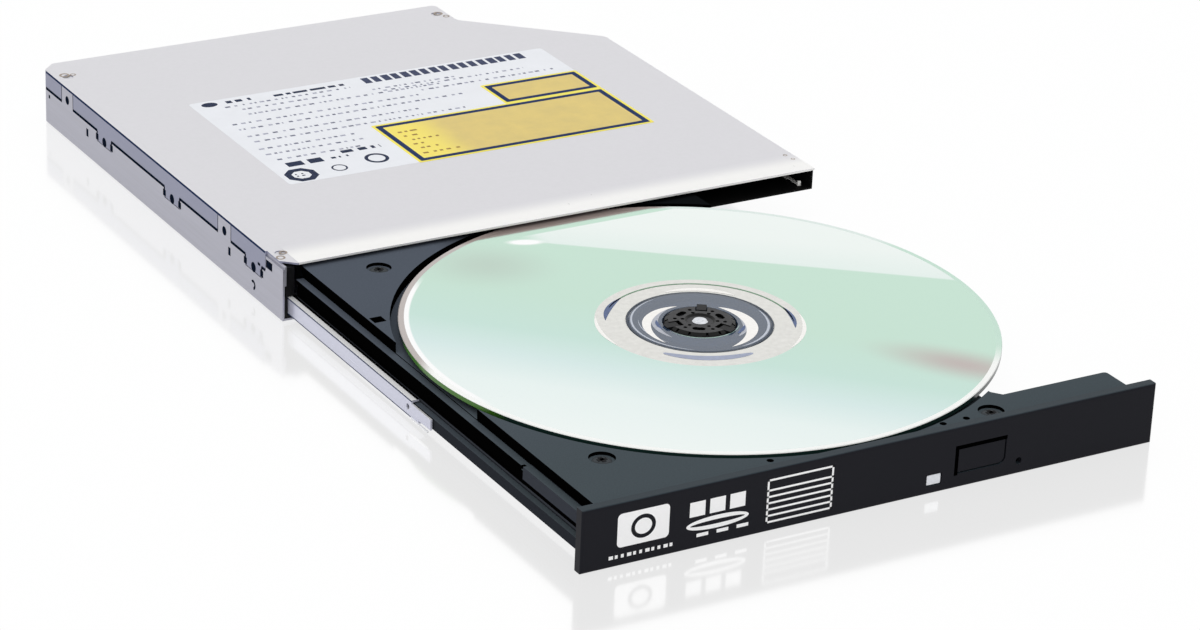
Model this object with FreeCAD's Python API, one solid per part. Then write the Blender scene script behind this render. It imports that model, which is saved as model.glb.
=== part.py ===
import FreeCAD, Part
import math
import os

# A slim notebook optical drive, 12.7 mm high, with its tray pulled out and a disc on the hub.
# Everything is in millimetres. The model is drawn from the left front corner of the sheet steel
# case: X to the right along the bezel, Y to the rear, Z up from the bezel's lower edge.
# Pieces on the tray are drawn from the bezel's front face instead and shifted by tray_shift.
# When it is saved, each piece moves so that the origin is under the middle of the open drive.

# Bezel and case
bezel_width = 128.0
bezel_height = 12.7
bezel_depth = 2.2
case_depth = 126.3
case_bottom = 0.3
case_top = 12.6
sheet = 0.4
deep_width = 101.3
wing_under = 7.9
wing_rear_gap = 11.3
wing_slant_depth = 24.0
rear_corner_cut = 3.0
corner_round = 1.2

# The cover's flange laps the case wall flush, with gaps, snap tabs and a free front corner
lap_height = 8.3
lap_gap = 0.25
wing_lap_height = 9.6
front_corner_length = 8.3
flange_gap_width = 6.6
side_hole_front = 27.9
side_hole_spacing = 82.7
side_hole_height = 9.6
side_hole_radius = 0.8
tab_places = (13.8, 54.1, 90.0)
tab_width = 7.6
tab_low = 6.1
tab_hole_radius = 0.65
tab_hole_height = 6.9
tab_clearance = 0.2
corner_step = 11.6
notch_front = 5.0
notch_rear = 8.0
notch_low = 9.2
notch_high = 11.0

# Tray travel: the rails follow at about half of it
tray_travel = 120.0
closed_gap = 0.2
rail_reach = 61.8
rail_length = 98.0
rail_tip_length = 7.9
rail_web = 1.4
rail_steel = 0.4
rail_width = 1.65
rail_low = 1.5
rail_high = 5.15
rail_gap = 0.3
guide_length = 99.0
guide_start = 0.3
guide_lip = 0.5
guide_web_face = 1.2
guide_tower_top = 11.8
guide_tower_width = 1.9

# Tray
tray_top = 11.4
tray_floor_top = 9.2
tray_floor = 1.0
tray_left = 4.7
ledge_left = 3.0
ledge_top = 9.0
skirt_left = 3.4
skirt_low = 1.4
skirt_wall = 1.0
slot_top = 6.4
rib_reach = 1.3
deep_tray_end = 100.0
tray_end = 125.0
bar_right = 124.0
bar_rear = 11.0
bar_under = 8.8
deck_skin = 1.2
front_wall = 1.4
recess_gap = 1.6
cover_sheet = 0.3

# Disc and hub
disc_x = 64.0
disc_y = 65.0
disc_radius = 60.0
disc_hole = 7.5
disc_thick = 1.2
disc_under = 10.25
hub_radius = 7.3
hub_top = 11.95
hub_pin_radius = 1.6
flange_radius = 13.5
flange_thick = 0.8
pad_inner = 10.8
bell_radius = 11.3
bell_wall = 0.7
bell_low = 3.0
magnet_wall = 0.7
shaft_radius = 1.2
running_gap = 0.05
pawl_count = 3
pawl_angle = 191.0
pawl_width = 2.0
pawl_travel = 0.6

# Mechanism, drawn along the pickup's travel from the middle of the disc
travel_angle = 225.0
sled_travel = 33.0
lens_inner = 23.5
frame_top = 7.4
frame_sheet = 0.8
frame_start = -20.0
frame_end = 66.5
frame_left = -21.0
frame_right = 20.0
rod_offset = 14.0
main_rod_radius = 1.5
side_rod_radius = 1.0
rod_height = 4.6
screw_offset = -18.6
screw_radius = 1.1
neck_radius = 0.6
motor_radius = 2.6
motor_length = 12.0
motor_end = -6.0
pickup_inner = 11.0
pickup_outer = 29.0
pickup_half_width = 16.9
pickup_low = 2.0
pickup_high = 7.6
focus_travel = 0.3
base_low = 1.9

# Button, lamp and latch
button_left = 81.5
button_right = 93.0
button_low = 3.0
button_high = 8.3
button_gap = 0.3
button_travel = 0.5
lamp_left = 74.9
lamp_right = 78.4
lamp_low = 1.7
lamp_high = 4.1
pinhole_x = 96.2
pinhole_z = 2.8
pinhole_radius = 0.7
latch_x = 88.0
latch_y = 8.5
latch_low = 2.2
latch_thick = 1.2
post_x = 94.0
post_y = 20.0
post_radius = 1.3
post_top = 3.6
plunger_y = 15.5

# Main board, connector, flat cable and ejector
board_left = 4.0
board_right = 97.0
board_depth = 25.4
board_rear_gap = 1.3
board_thick = 0.8
board_low = 1.5
board_clearance = 0.4
board_screw_radius = 0.8
plug_x = 31.0
plug_width = 24.0
plug_low = 2.3
plug_high = 6.6
cable_left = 78.0
cable_width = 12.0
cable_thick = 0.15
cable_high = 2.95
ejector_x = 9.5
ejector_z = 5.5
ejector_radius = 1.0
ejector_reach = 10.0

# Sizes worked out from those above
wing_slant_end = case_depth - wing_rear_gap
wing_side_end = wing_slant_end - wing_slant_depth
side_hole_rear = side_hole_front + side_hole_spacing
board_rear = case_depth - board_rear_gap
board_front = board_rear - board_depth
recess_radius = disc_radius + recess_gap
tray_shift = -(bezel_depth + closed_gap + tray_travel)
origin_y = (case_depth + tray_shift) / 2
cover_under = case_top - sheet
floor_top = case_bottom + sheet
tray_under = tray_floor_top - tray_floor
frame_low = frame_top - frame_sheet
board_top = board_low + board_thick
disc_top = disc_under + disc_thick
tray_right = deep_width - skirt_left
rib_low = rail_low + rail_steel + rail_gap
rib_high = rail_high - rail_steel - rail_gap
over = 1.0


def box(x0, x1, y0, y1, z0, z1):
    """A block between two corners."""
    return Part.makeBox(x1 - x0, y1 - y0, z1 - z0, FreeCAD.Vector(x0, y0, z0))


def post(x, y, z0, z1, radius):
    """An upright round post."""
    return Part.makeCylinder(radius, z1 - z0, FreeCAD.Vector(x, y, z0))


def rod_y(x, z, y0, y1, radius):
    """A round bar along Y."""
    return Part.makeCylinder(radius, y1 - y0, FreeCAD.Vector(x, y0, z), FreeCAD.Vector(0, 1, 0))


def rod_x(y, z, x0, x1, radius):
    """A round bar along X."""
    return Part.makeCylinder(radius, x1 - x0, FreeCAD.Vector(x0, y, z), FreeCAD.Vector(1, 0, 0))


def join(*shapes):
    """One piece from several that touch or overlap."""
    return shapes[0].fuse(list(shapes[1:])).removeSplitter()


def outline_face(points, height):
    """A flat face with straight sides; a third number rounds that corner."""
    edges = []
    ends = []
    count = len(points)
    for i in range(count):
        here = FreeCAD.Vector(points[i][0], points[i][1], height)
        if len(points[i]) < 3:
            ends.append((here, here))
            continue
        before = FreeCAD.Vector(points[i - 1][0], points[i - 1][1], height) - here
        after = FreeCAD.Vector(points[(i + 1) % count][0], points[(i + 1) % count][1], height) - here
        half = before.getAngle(after) / 2
        reach = points[i][2] / math.tan(half)
        before.normalize()
        after.normalize()
        start = here + before * reach
        stop = here + after * reach
        middle = before + after
        middle.normalize()
        centre = here + middle * (points[i][2] / math.sin(half))
        arc = Part.Arc(start, centre - middle * points[i][2], stop)
        edges.append(arc.toShape())
        ends.append((start, stop))
    for i in range(count):
        start = ends[i - 1][1]
        stop = ends[i][0]
        if start.distanceToPoint(stop) > 1e-6:
            edges.append(Part.LineSegment(start, stop).toShape())
    wire = Part.Wire(Part.__sortEdges__(edges))
    return Part.Face(wire)


def plate(points, z0, z1):
    """A flat plate of that outline."""
    return outline_face(points, z0).extrude(FreeCAD.Vector(0, 0, z1 - z0))


def inset(points, distance):
    """The same outline, anticlockwise, with every side moved inward."""
    moved = []
    count = len(points)
    for i in range(count):
        here = FreeCAD.Vector(points[i][0], points[i][1], 0)
        before = here - FreeCAD.Vector(points[i - 1][0], points[i - 1][1], 0)
        after = FreeCAD.Vector(points[(i + 1) % count][0], points[(i + 1) % count][1], 0) - here
        before.normalize()
        after.normalize()
        normal_a = FreeCAD.Vector(-before.y, before.x, 0)
        normal_b = FreeCAD.Vector(-after.y, after.x, 0)
        shift = (normal_a + normal_b) * (distance / (1 + normal_a.dot(normal_b)))
        corner = here + shift
        if len(points[i]) > 2:
            moved.append((corner.x, corner.y, max(points[i][2] - distance, 0.1)))
        else:
            moved.append((corner.x, corner.y))
    return moved


def turned(profile, x, y):
    """A turned piece from (radius, height) points about an upright axis."""
    points = [FreeCAD.Vector(radius, 0, height) for radius, height in profile]
    points.append(points[0])
    face = Part.Face(Part.makePolygon(points))
    solid = face.revolve(FreeCAD.Vector(0, 0, 0), FreeCAD.Vector(0, 0, 1), 360)
    solid.translate(FreeCAD.Vector(x, y, 0))
    return solid


def bar_y(profile, y0, y1):
    """A straight bar along Y from an (x, z) profile."""
    points = [FreeCAD.Vector(x, y0, z) for x, z in profile]
    points.append(points[0])
    return Part.Face(Part.makePolygon(points)).extrude(FreeCAD.Vector(0, y1 - y0, 0))


def other_side(shape):
    """The matching piece on the right of the deep part of the case."""
    return shape.mirror(FreeCAD.Vector(deep_width / 2, 0, 0), FreeCAD.Vector(1, 0, 0))


def on_tray(shape):
    """Move a piece drawn from the bezel's front face to the open tray."""
    shape.translate(FreeCAD.Vector(0, tray_shift, 0))
    return shape


def on_travel(shape):
    """Move a piece drawn along the pickup's travel to its place in the tray."""
    shape.rotate(FreeCAD.Vector(0, 0, 0), FreeCAD.Vector(0, 0, 1), travel_angle)
    shape.translate(FreeCAD.Vector(disc_x, disc_y, 0))
    return shape


def travel_point(u, v):
    """Where a point drawn along the pickup's travel lies on the tray."""
    angle = math.radians(travel_angle)
    x = disc_x + u * math.cos(angle) - v * math.sin(angle)
    y = disc_y + u * math.sin(angle) + v * math.cos(angle)
    return x, y


def save(node, shape):
    """Write one piece, seen from the drive's own origin."""
    shape.translate(FreeCAD.Vector(-bezel_width / 2, -origin_y, 0))
    shape.exportStep("parts/" + node + ".step")
    print(node, "solids", len(shape.Solids), "valid", shape.isValid(), "volume", round(shape.Volume, 2))


os.makedirs("parts", exist_ok=True)

# Outlines in plan, anticlockwise from the left front corner, and open towards the front
front = -20.0
full_outline = [
    (0, front),
    (bezel_width, front),
    (bezel_width, wing_side_end, 2 * corner_round),
    (deep_width, wing_slant_end, 2 * corner_round),
    (deep_width, case_depth, corner_round),
    (rear_corner_cut, case_depth, corner_round),
    (0, case_depth - rear_corner_cut, corner_round),
]
deep_outline = [
    (0, front),
    (deep_width, front),
    (deep_width, case_depth, corner_round),
    (rear_corner_cut, case_depth, corner_round),
    (0, case_depth - rear_corner_cut, corner_round),
]
before_front = box(-over, bezel_width + over, front - over, 0, -over, case_top + over)

# Bottom case: a pressed steel tub with a shallow wing over the right side. Above the lap its
# wall is joggled inward by one sheet, so that the cover's flange lies flush with it.
lower_shell = plate(deep_outline, case_bottom, lap_height)
upper_shell = plate(inset(full_outline, sheet), wing_under, cover_under)
lower_room = plate(inset(deep_outline, sheet), floor_top, lap_height - sheet)
middle_room = plate(inset(deep_outline, 2 * sheet), floor_top, case_top)
upper_room = plate(inset(full_outline, 2 * sheet), wing_under + sheet, case_top)
bottom_case = join(lower_shell, upper_shell)
bottom_case = bottom_case.cut([lower_room, middle_room, upper_room, before_front])
gap_places = (side_hole_front, side_hole_rear)
for place in gap_places:
    half_pad = flange_gap_width / 2 - tab_clearance
    pad = box(0, 2 * sheet, place - half_pad, place + half_pad, wing_under, cover_under)
    bottom_case = join(bottom_case, pad)
for place in tab_places:
    half_tab = tab_width / 2 + tab_clearance
    backing = box(sheet, 2 * sheet, place - half_tab - sheet, place + half_tab + sheet,
                  tab_low - tab_clearance - sheet, lap_height)
    recess = box(-over, sheet, place - half_tab, place + half_tab, tab_low - tab_clearance, lap_height)
    bottom_case = join(bottom_case, backing).cut(recess)
front_pad = box(0, sheet, 0, front_corner_length - tab_clearance, lap_height, corner_step)
notch = box(-over, 2 * sheet + 0.01, notch_front, notch_rear, notch_low, notch_high)
bottom_case = join(bottom_case, front_pad).cut(notch)
for place in gap_places:
    bottom_case = bottom_case.cut(rod_x(place, side_hole_height, -over, 3 * sheet, side_hole_radius))
plug_gap = 0.2
plug_window = box(plug_x - plug_width / 2 - plug_gap, plug_x + plug_width / 2 + plug_gap,
                  board_rear, case_depth + over, plug_low - plug_gap, plug_high + plug_gap)
bottom_case = bottom_case.cut(plug_window)
stop_tab_gap = 1.3
stop_tab_front = board_front - stop_tab_gap - sheet
stop_tab_half = 2.5
stop_tab = box(ejector_x - stop_tab_half, ejector_x + stop_tab_half, stop_tab_front, stop_tab_front + sheet,
               floor_top - 0.1, ejector_z + 1.5)
bottom_case = join(bottom_case, stop_tab)
board_screw_places = [
    (board_left + 4.0, board_rear - 5.0),
    (board_right - 4.0, board_rear - 5.0),
    (board_left + 14.0, board_front + 4.0),
    (board_right - 4.0, board_front + 4.0),
]
standoff_radius = 2.2
for x, y in board_screw_places:
    bottom_case = join(bottom_case, post(x, y, floor_top - 0.1, board_low, standoff_radius))
for x, y in board_screw_places:
    bottom_case = bottom_case.cut(post(x, y, 0, board_low + over, board_screw_radius))
# Two pressed ribs stiffen the floor
groove_width = 3.0
groove_depth = 0.25
groove_front = 12.0
groove_rear = 84.0
groove_places = (30.0, 66.0)
for x in groove_places:
    groove = box(x, x + groove_width, groove_front, groove_rear,
                 case_bottom - over, case_bottom + groove_depth)
    bottom_case = bottom_case.cut(groove)
bracket_hole_radius = 0.8
bracket_hole_height = 10.2
bracket_hole_places = (74.0, 92.0)
for x in bracket_hole_places:
    bottom_case = bottom_case.cut(rod_y(x, bracket_hole_height, case_depth - 3.0, case_depth + over,
                                        bracket_hole_radius))
cover_screw_places = (12.0, 60.0)
cover_screw_radius = 0.8
cover_screw_height = 10.4
nut_radius = 1.5
head_flare = 1.0
for x in cover_screw_places:
    nut = rod_y(x, cover_screw_height, case_depth - 3.2, case_depth - 2 * sheet, nut_radius)
    bottom_case = join(bottom_case, nut)
for x in cover_screw_places:
    bottom_case = bottom_case.cut(rod_y(x, cover_screw_height, case_depth - 4.0, case_depth,
                                        cover_screw_radius))

# Top cover: one flat sheet with flanges folded down on the left, the rear and the right
top_sheet = plate(full_outline, cover_under, case_top)
flange = plate(full_outline, lap_height + lap_gap, cover_under)
flange = flange.cut(plate(inset(full_outline, sheet), 0, case_top))
not_under_wing = box(deep_width + 0.01, bezel_width + over, front, case_depth, 0, wing_lap_height + lap_gap)
top_cover = join(top_sheet, flange.cut(not_under_wing)).cut(before_front)
for place in tab_places:
    tab = box(0, sheet, place - tab_width / 2, place + tab_width / 2, tab_low, lap_height + over)
    top_cover = join(top_cover, tab)
for place in tab_places:
    top_cover = top_cover.cut(rod_x(place, tab_hole_height, -over, sheet + 0.05, tab_hole_radius))
for place in gap_places:
    gap = box(-over, sheet, place - flange_gap_width / 2, place + flange_gap_width / 2, 0, cover_under)
    top_cover = top_cover.cut(gap)
left_corner = box(-over, sheet, -over, front_corner_length, 0, case_top + over)
corner_slope = plate([(-over, -over), (3.4, -over), (3.4, 0), (sheet, 2.6), (-over, 2.6)], 0, case_top + over)
right_corner = box(bezel_width - sheet, bezel_width + over, -over, 1.2, 0, cover_under)
top_cover = top_cover.cut([left_corner, corner_slope, right_corner])
dimple_places = [
    (2.9, case_depth - 9.4),
    (2.4, 6.2),
    (deep_width - 2.6, case_depth - 5.7),
    (bezel_width - 2.4, 7.2),
]
dimple_radius = 1.2
dimple_depth = 0.2
for x, y in dimple_places:
    top_cover = top_cover.cut(post(x, y, case_top - dimple_depth, case_top + over, dimple_radius))
for x in bracket_hole_places:
    top_cover = top_cover.cut(rod_y(x, bracket_hole_height, case_depth - 3.0, case_depth + over,
                                    bracket_hole_radius + 0.5))
for x in cover_screw_places:
    seat = Part.makeCone(cover_screw_radius, cover_screw_radius + head_flare, sheet,
                         FreeCAD.Vector(x, case_depth - sheet, cover_screw_height), FreeCAD.Vector(0, 1, 0))
    top_cover = top_cover.cut(seat)

# Countersunk screws through the cover's rear flange
cover_screws = []
for x in cover_screw_places:
    head = Part.makeCone(cover_screw_radius, cover_screw_radius + head_flare, sheet,
                         FreeCAD.Vector(x, case_depth - sheet, cover_screw_height), FreeCAD.Vector(0, 1, 0))
    shank = rod_y(x, cover_screw_height, case_depth - 3.4, case_depth - sheet, cover_screw_radius)
    drive = box(x - 0.7, x + 0.7, case_depth - 0.25, case_depth + over,
                cover_screw_height - 0.15, cover_screw_height + 0.15)
    cross = box(x - 0.15, x + 0.15, case_depth - 0.25, case_depth + over,
                cover_screw_height - 0.7, cover_screw_height + 0.7)
    cover_screws.append(join(head, shank).cut([drive, cross]))

# Latch post, riveted in the case floor near the front of the channel on the right
post_case_y = post_y + tray_shift + tray_travel
latch_post = join(post(post_x, post_case_y, floor_top, floor_top + 0.3, 2.4),
                  post(post_x, post_case_y, floor_top, post_top, post_radius))

# Earthing spring: a bent strip on the wing floor by the right front corner
wing_floor_top = wing_under + sheet
spring_profile = [
    (1.4, wing_floor_top),
    (7.4, wing_floor_top),
    (7.4, wing_floor_top + 0.15),
    (5.2, wing_floor_top + 0.15),
    (2.2, wing_floor_top + 1.3),
    (1.4, wing_floor_top + 1.0),
    (1.4, wing_floor_top + 0.85),
    (2.2, wing_floor_top + 1.1),
    (4.6, wing_floor_top + 0.15),
    (1.4, wing_floor_top + 0.15),
]
spring_points = [FreeCAD.Vector(bezel_width - 3.2, y, z) for y, z in spring_profile]
spring_points.append(spring_points[0])
ground_spring = Part.Face(Part.makePolygon(spring_points)).extrude(FreeCAD.Vector(1.6, 0, 0))

# Rail guides: black plastic channels on both sides, with a front tower clipped in the left wall
guide_end = guide_start + guide_length
lip_end = rail_web + rail_width
step_z = tab_low - tab_clearance - sheet - 0.1
guide_profile = [
    (sheet, floor_top),
    (lip_end, floor_top),
    (lip_end, rail_low - rail_gap),
    (guide_web_face, rail_low - rail_gap),
    (guide_web_face, rail_high + rail_gap),
    (lip_end, rail_high + rail_gap),
    (lip_end, rail_high + rail_gap + guide_lip),
    (2 * sheet, rail_high + rail_gap + guide_lip),
    (2 * sheet, step_z),
    (sheet, step_z),
]
guide = bar_y(guide_profile, guide_start, guide_end)
guide_top = rail_high + rail_gap + guide_lip
tower = box(2 * sheet, 2 * sheet + guide_tower_width, guide_start, front_corner_length, guide_top - 0.1,
            guide_tower_top)
clip = box(0.05, 2 * sheet, notch_front + tab_clearance, notch_rear - tab_clearance,
           notch_low + tab_clearance, notch_high - tab_clearance)
left_guide = join(guide, tower, clip)
stub = box(2 * sheet, 2 * sheet + guide_tower_width, guide_start, 4.0, guide_top - 0.1, wing_under - 0.2)
right_guide = other_side(join(guide.copy(), stub))

# Telescopic rails: pressed steel channels that run in the guides and carry the tray's ribs
rail_front = -rail_reach
rail_end = rail_front + rail_length
rail_tip_end = rail_front + rail_tip_length
rail_profile = [
    (rail_web, rail_low),
    (lip_end, rail_low),
    (lip_end, rail_low + rail_steel),
    (rail_web + rail_steel, rail_low + rail_steel),
    (rail_web + rail_steel, rail_high - rail_steel),
    (lip_end, rail_high - rail_steel),
    (lip_end, rail_high),
    (rail_web, rail_high),
]
rail = bar_y(rail_profile, rail_front, rail_end)
tip_cut_top = box(rail_web - over, lip_end + over, rail_front - over, rail_tip_end,
                  rail_high - rail_steel - 0.3, rail_high + over)
tip_cut_low = box(rail_web - over, lip_end + over, rail_front - over, rail_tip_end - 3.0,
                  rail_low - over, rail_low + rail_steel + 0.3)
rivet_hole = rod_x(rail_tip_end + 1.5, (rail_low + rail_high) / 2, rail_web - over,
                   rail_web + rail_steel + 0.1, 0.6)
rail = rail.cut([tip_cut_top, tip_cut_low, rivet_hole])
left_rail = rail
right_rail = other_side(rail.copy())

# Tray: a moulded deck with the disc recess, skirts round the mechanism and a rib on each side
circle_low = 13.0
deck_outline = [
    (tray_left, bezel_depth),
    (bar_right, bezel_depth, 0.8),
    (bar_right, bar_rear, 0.8),
    (tray_right + 1.6, bar_rear),
    (tray_right, circle_low),
    (tray_right, tray_end, 2.5),
    (tray_left, tray_end, 2.5),
]
skirt_top = tray_under + 0.1
deck = plate(deck_outline, tray_under, tray_top)
ledge = box(ledge_left, tray_left + over, bezel_depth, tray_end - 2.5, tray_under, ledge_top)
upper_side = box(ledge_left, skirt_left + skirt_wall, bezel_depth, deep_tray_end, slot_top, skirt_top)
left_skirt = box(skirt_left, skirt_left + skirt_wall, bezel_depth, deep_tray_end, skirt_low, skirt_top)
right_skirt = box(tray_right - skirt_wall, tray_right, bezel_depth, deep_tray_end, skirt_low, skirt_top)
front_skirt = box(skirt_left, tray_right, bezel_depth, bezel_depth + front_wall, skirt_low, skirt_top)
rear_skirt = box(skirt_left, tray_right, deep_tray_end - front_wall, deep_tray_end, skirt_low, skirt_top)
side_low = board_top + board_clearance
left_side = box(skirt_left, skirt_left + skirt_wall, deep_tray_end - 0.1, tray_end - 2.5, side_low, skirt_top)
right_side = other_side(left_side.copy())
left_rib = box(skirt_left - rib_reach, skirt_left + 0.1, bezel_depth, deep_tray_end - 1.0, rib_low, rib_high)
right_rib = box(tray_right - 0.1, tray_right + rib_reach, bezel_depth, deep_tray_end - 1.0, rib_low, rib_high)
tray = join(deck, ledge, upper_side, left_skirt, right_skirt, front_skirt, rear_skirt, left_side, right_side,
            left_rib, right_rib)
recess = post(disc_x, disc_y, tray_floor_top, tray_top + over, recess_radius)
bar_relief = box(tray_right + 0.01, bar_right + over, 0, bar_rear + over, 0, bar_under)
tray = tray.cut([recess, bar_relief])
# The deck is hollow below, outside the wall of the recess
hollow = plate(inset(deck_outline, deck_skin), 0, tray_top - deck_skin)
hollow = hollow.cut(post(disc_x, disc_y, -over, tray_top, recess_radius + skirt_wall))
hollow = hollow.common(box(-over, bezel_width, 0, tray_end, tray_under - 0.1, tray_top))
tray = tray.cut(hollow)
# Window over the spindle and the pickup's travel
window_half = 15.5
window_reach = pickup_outer + sled_travel + 0.4
window_round = 5.0
window = on_travel(plate([
    (0, -window_half, window_round),
    (window_reach, -window_half, window_round),
    (window_reach, window_half, window_round),
    (0, window_half, window_round),
], tray_under - over, tray_floor_top + over))
tray = tray.cut([window, post(disc_x, disc_y, tray_under - over, tray_floor_top + over, flange_radius + 2.0)])
# Bosses for the rubber mounts, the bottom cover and the deck's screws
mount_spots = [(frame_end - 0.5, -2.5), (-14.0, frame_right + 4.0), (-14.0, frame_left - 4.0)]
mount_places = [travel_point(u, v) for u, v in mount_spots]
mount_pin_radius = 1.5
mount_pin_low = 5.8
for x, y in mount_places:
    tray = join(tray, post(x, y, mount_pin_low, tray_floor_top - 0.1, mount_pin_radius))
cover_boss_radius = 1.6
cover_boss_places = [(7.4, 8.0), (16.0, 95.0), (72.0, 95.0), (66.0, 8.0)]
for x, y in cover_boss_places:
    tray = join(tray, post(x, y, skirt_low, tray_floor_top - 0.1, cover_boss_radius))
deck_screw_places = [(18.5, 116.0), (15.6, 20.1), (93.2, 6.0)]
counterbore_radius = 2.6
counterbore_depth = 0.7
deck_hole_radius = 1.2
for x, y in deck_screw_places:
    boss = post(x, y, tray_floor_top - 0.9, tray_top - 0.1, counterbore_radius + 0.8)
    tray = join(tray, boss.common(plate(inset(deck_outline, 0.2), 0, tray_top)))
for x, y in deck_screw_places:
    tray = tray.cut(post(x, y, tray_top - counterbore_depth, tray_top + over, counterbore_radius))
    tray = tray.cut(post(x, y, tray_top - 2 * deck_skin, tray_top + over, deck_hole_radius))
# Spring seat of the ejector
spring_length = 16.2
seat_rear = deep_tray_end - front_wall - 1.8 - spring_length
seat_front = seat_rear - 2.0
tray = join(tray, box(ejector_x - 2.2, ejector_x + 2.2, seat_front, seat_rear, 3.4, tray_under + 0.1))
mount_screw_radius = 0.7
cover_screw_shank = 0.6
tray_cuts = []
for x, y in mount_places:
    tray_cuts.append(post(x, y, mount_pin_low - over, tray_floor_top - 0.6, mount_screw_radius))
for x, y in cover_boss_places:
    tray_cuts.append(post(x, y, skirt_low - over, skirt_low + 3.0, cover_screw_shank))
channel_left = post_x - post_radius - 1.2
tray_cuts.append(box(channel_left, tray_right - skirt_wall, deep_tray_end - front_wall - over,
                     deep_tray_end + over, skirt_low - over, post_top + 0.6))
flange_margin = 0.6
wall_gap = 0.3
button_room = flange_margin + wall_gap
tray_cuts.append(box(button_left - button_room, button_right + button_room, bezel_depth - over,
                     bezel_depth + front_wall + 0.01, button_low - button_room, tray_under))
tray_cuts.append(box(lamp_left - wall_gap, lamp_right + wall_gap, bezel_depth - over,
                     bezel_depth + front_wall + 0.01, lamp_low - 0.2, lamp_high + 0.2))
tray_cuts.append(rod_y(pinhole_x, pinhole_z, 0, bezel_depth + front_wall + 0.01, pinhole_radius + 0.3))
hook_places = (14.0, 40.0, 60.0)
hook_width = 4.0
hook_low = 5.0
hook_high = 6.4
for x in hook_places:
    tray_cuts.append(box(x - wall_gap, x + hook_width + wall_gap, bezel_depth - over,
                         bezel_depth + front_wall + 0.01, hook_low - wall_gap, hook_high + 2 * wall_gap))
tray_cuts.append(rod_y(ejector_x, ejector_z, deep_tray_end - front_wall - over, deep_tray_end + over,
                       ejector_radius + running_gap))
deck_pin_places = [(43.2, 5.7), (81.5, 5.1), (86.9, 5.2)]
deck_pin_radius = 0.6
for x, y in deck_pin_places:
    tray_cuts.append(post(x, y, tray_top - 2 * deck_skin, tray_top + over, deck_pin_radius))
square_hole_left = 5.2
square_hole_front = 91.7
square_hole_width = 2.6
tray_cuts.append(box(square_hole_left, square_hole_left + square_hole_width, square_hole_front,
                     square_hole_front + square_hole_width, ledge_top, tray_top + over))
ledge_notch = 27.2
ledge_notch_width = 0.8
tray_cuts.append(box(ledge_left - over, ledge_left + ledge_notch_width, ledge_notch,
                     ledge_notch + ledge_notch_width, ledge_top - ledge_notch_width, ledge_top + over))
tray = tray.cut(tray_cuts)

# Bezel: the moulded front with ribs behind it, hooks into the tray, and openings for the
# eject button, the lamp and the emergency pin
bezel = box(0, bezel_width, 0, bezel_depth, 0, bezel_height)
front_edges = [e for e in bezel.Edges if e.BoundBox.YMax < 0.01]
bezel = bezel.makeFillet(0.5, front_edges)
bezel_skin = 1.4
bezel_rim = 1.2
rib_pitch = 16.0
pocket = box(bezel_rim, bezel_width - bezel_rim, bezel_skin, bezel_depth + over, bezel_rim,
             bezel_height - bezel_rim)
x = rib_pitch
while x < bezel_width - rib_pitch / 2:
    pocket = pocket.cut(box(x - 0.4, x + 0.4, 0, bezel_depth + over, 0, bezel_height))
    x += rib_pitch
kept_solid = box(lamp_left - 1.5, pinhole_x + 2.0, 0, bezel_depth + over, 0, bezel_height)
bezel = bezel.cut(pocket.cut(kept_solid))
bezel_hooks = []
for x in hook_places:
    arm = box(x, x + hook_width, bezel_skin - 0.1, bezel_depth + front_wall + 1.2, hook_low, hook_high - 0.4)
    nose = box(x, x + hook_width, bezel_depth + front_wall + 0.15, bezel_depth + front_wall + 1.2,
               hook_low, hook_high + 1.0)
    bezel_hooks.append(arm)
    bezel_hooks.append(nose)
bezel = join(bezel, *bezel_hooks)
button_hole_outline = [
    (button_left, button_low, 0.4),
    (button_right, button_low, 1.6),
    (button_right, button_high, 0.4),
    (button_left, button_high, 0.4),
]


def upright(points, y0, y1):
    """A plate whose outline is drawn in X and Z, from y0 to y1."""
    flat = plate(points, 0, y1 - y0)
    flat.rotate(FreeCAD.Vector(0, 0, 0), FreeCAD.Vector(1, 0, 0), 90)
    flat.translate(FreeCAD.Vector(0, y1, 0))
    return flat


lamp_outline = [
    (lamp_left, lamp_low, 0.4),
    (lamp_right, lamp_low, 0.4),
    (lamp_right, lamp_high, 0.4),
    (lamp_left, lamp_high, 0.4),
]
bezel = bezel.cut([
    upright(button_hole_outline, -over, bezel_depth + over),
    upright(lamp_outline, -over, bezel_depth + over),
    rod_y(pinhole_x, pinhole_z, -over, bezel_depth + over, pinhole_radius),
])

# Eject button, with the flange that keeps it behind the bezel and the stem to the switch
button_x = (button_left + button_right) / 2
button_z = (button_low + button_high) / 2
cap = upright(inset(button_hole_outline, button_gap), 0.1, bezel_depth + 0.3)
button_flange = box(button_left - flange_margin, button_right + flange_margin, bezel_depth + 0.2,
                    bezel_depth + 0.8, button_low - flange_margin, tray_under - 0.2)
stem_end = bezel_depth + 1.6
stem = rod_y(button_x, button_z, bezel_depth + 0.5, stem_end, 1.2)
eject_button = join(cap, button_flange, stem)
switch_front = bezel_depth + 2.7
switch_rear = switch_front + 1.3
switch_plunger = rod_y(button_x, button_z, stem_end, switch_front + 0.25, 0.9)
button_switch = box(button_x - 2.5, button_x + 2.5, switch_front, switch_rear, button_z - 1.6, button_z + 1.6)
button_switch = button_switch.cut(rod_y(button_x, button_z, switch_front - over,
                                        switch_front + 0.25 + button_travel + 0.1, 0.9 + running_gap))

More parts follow.
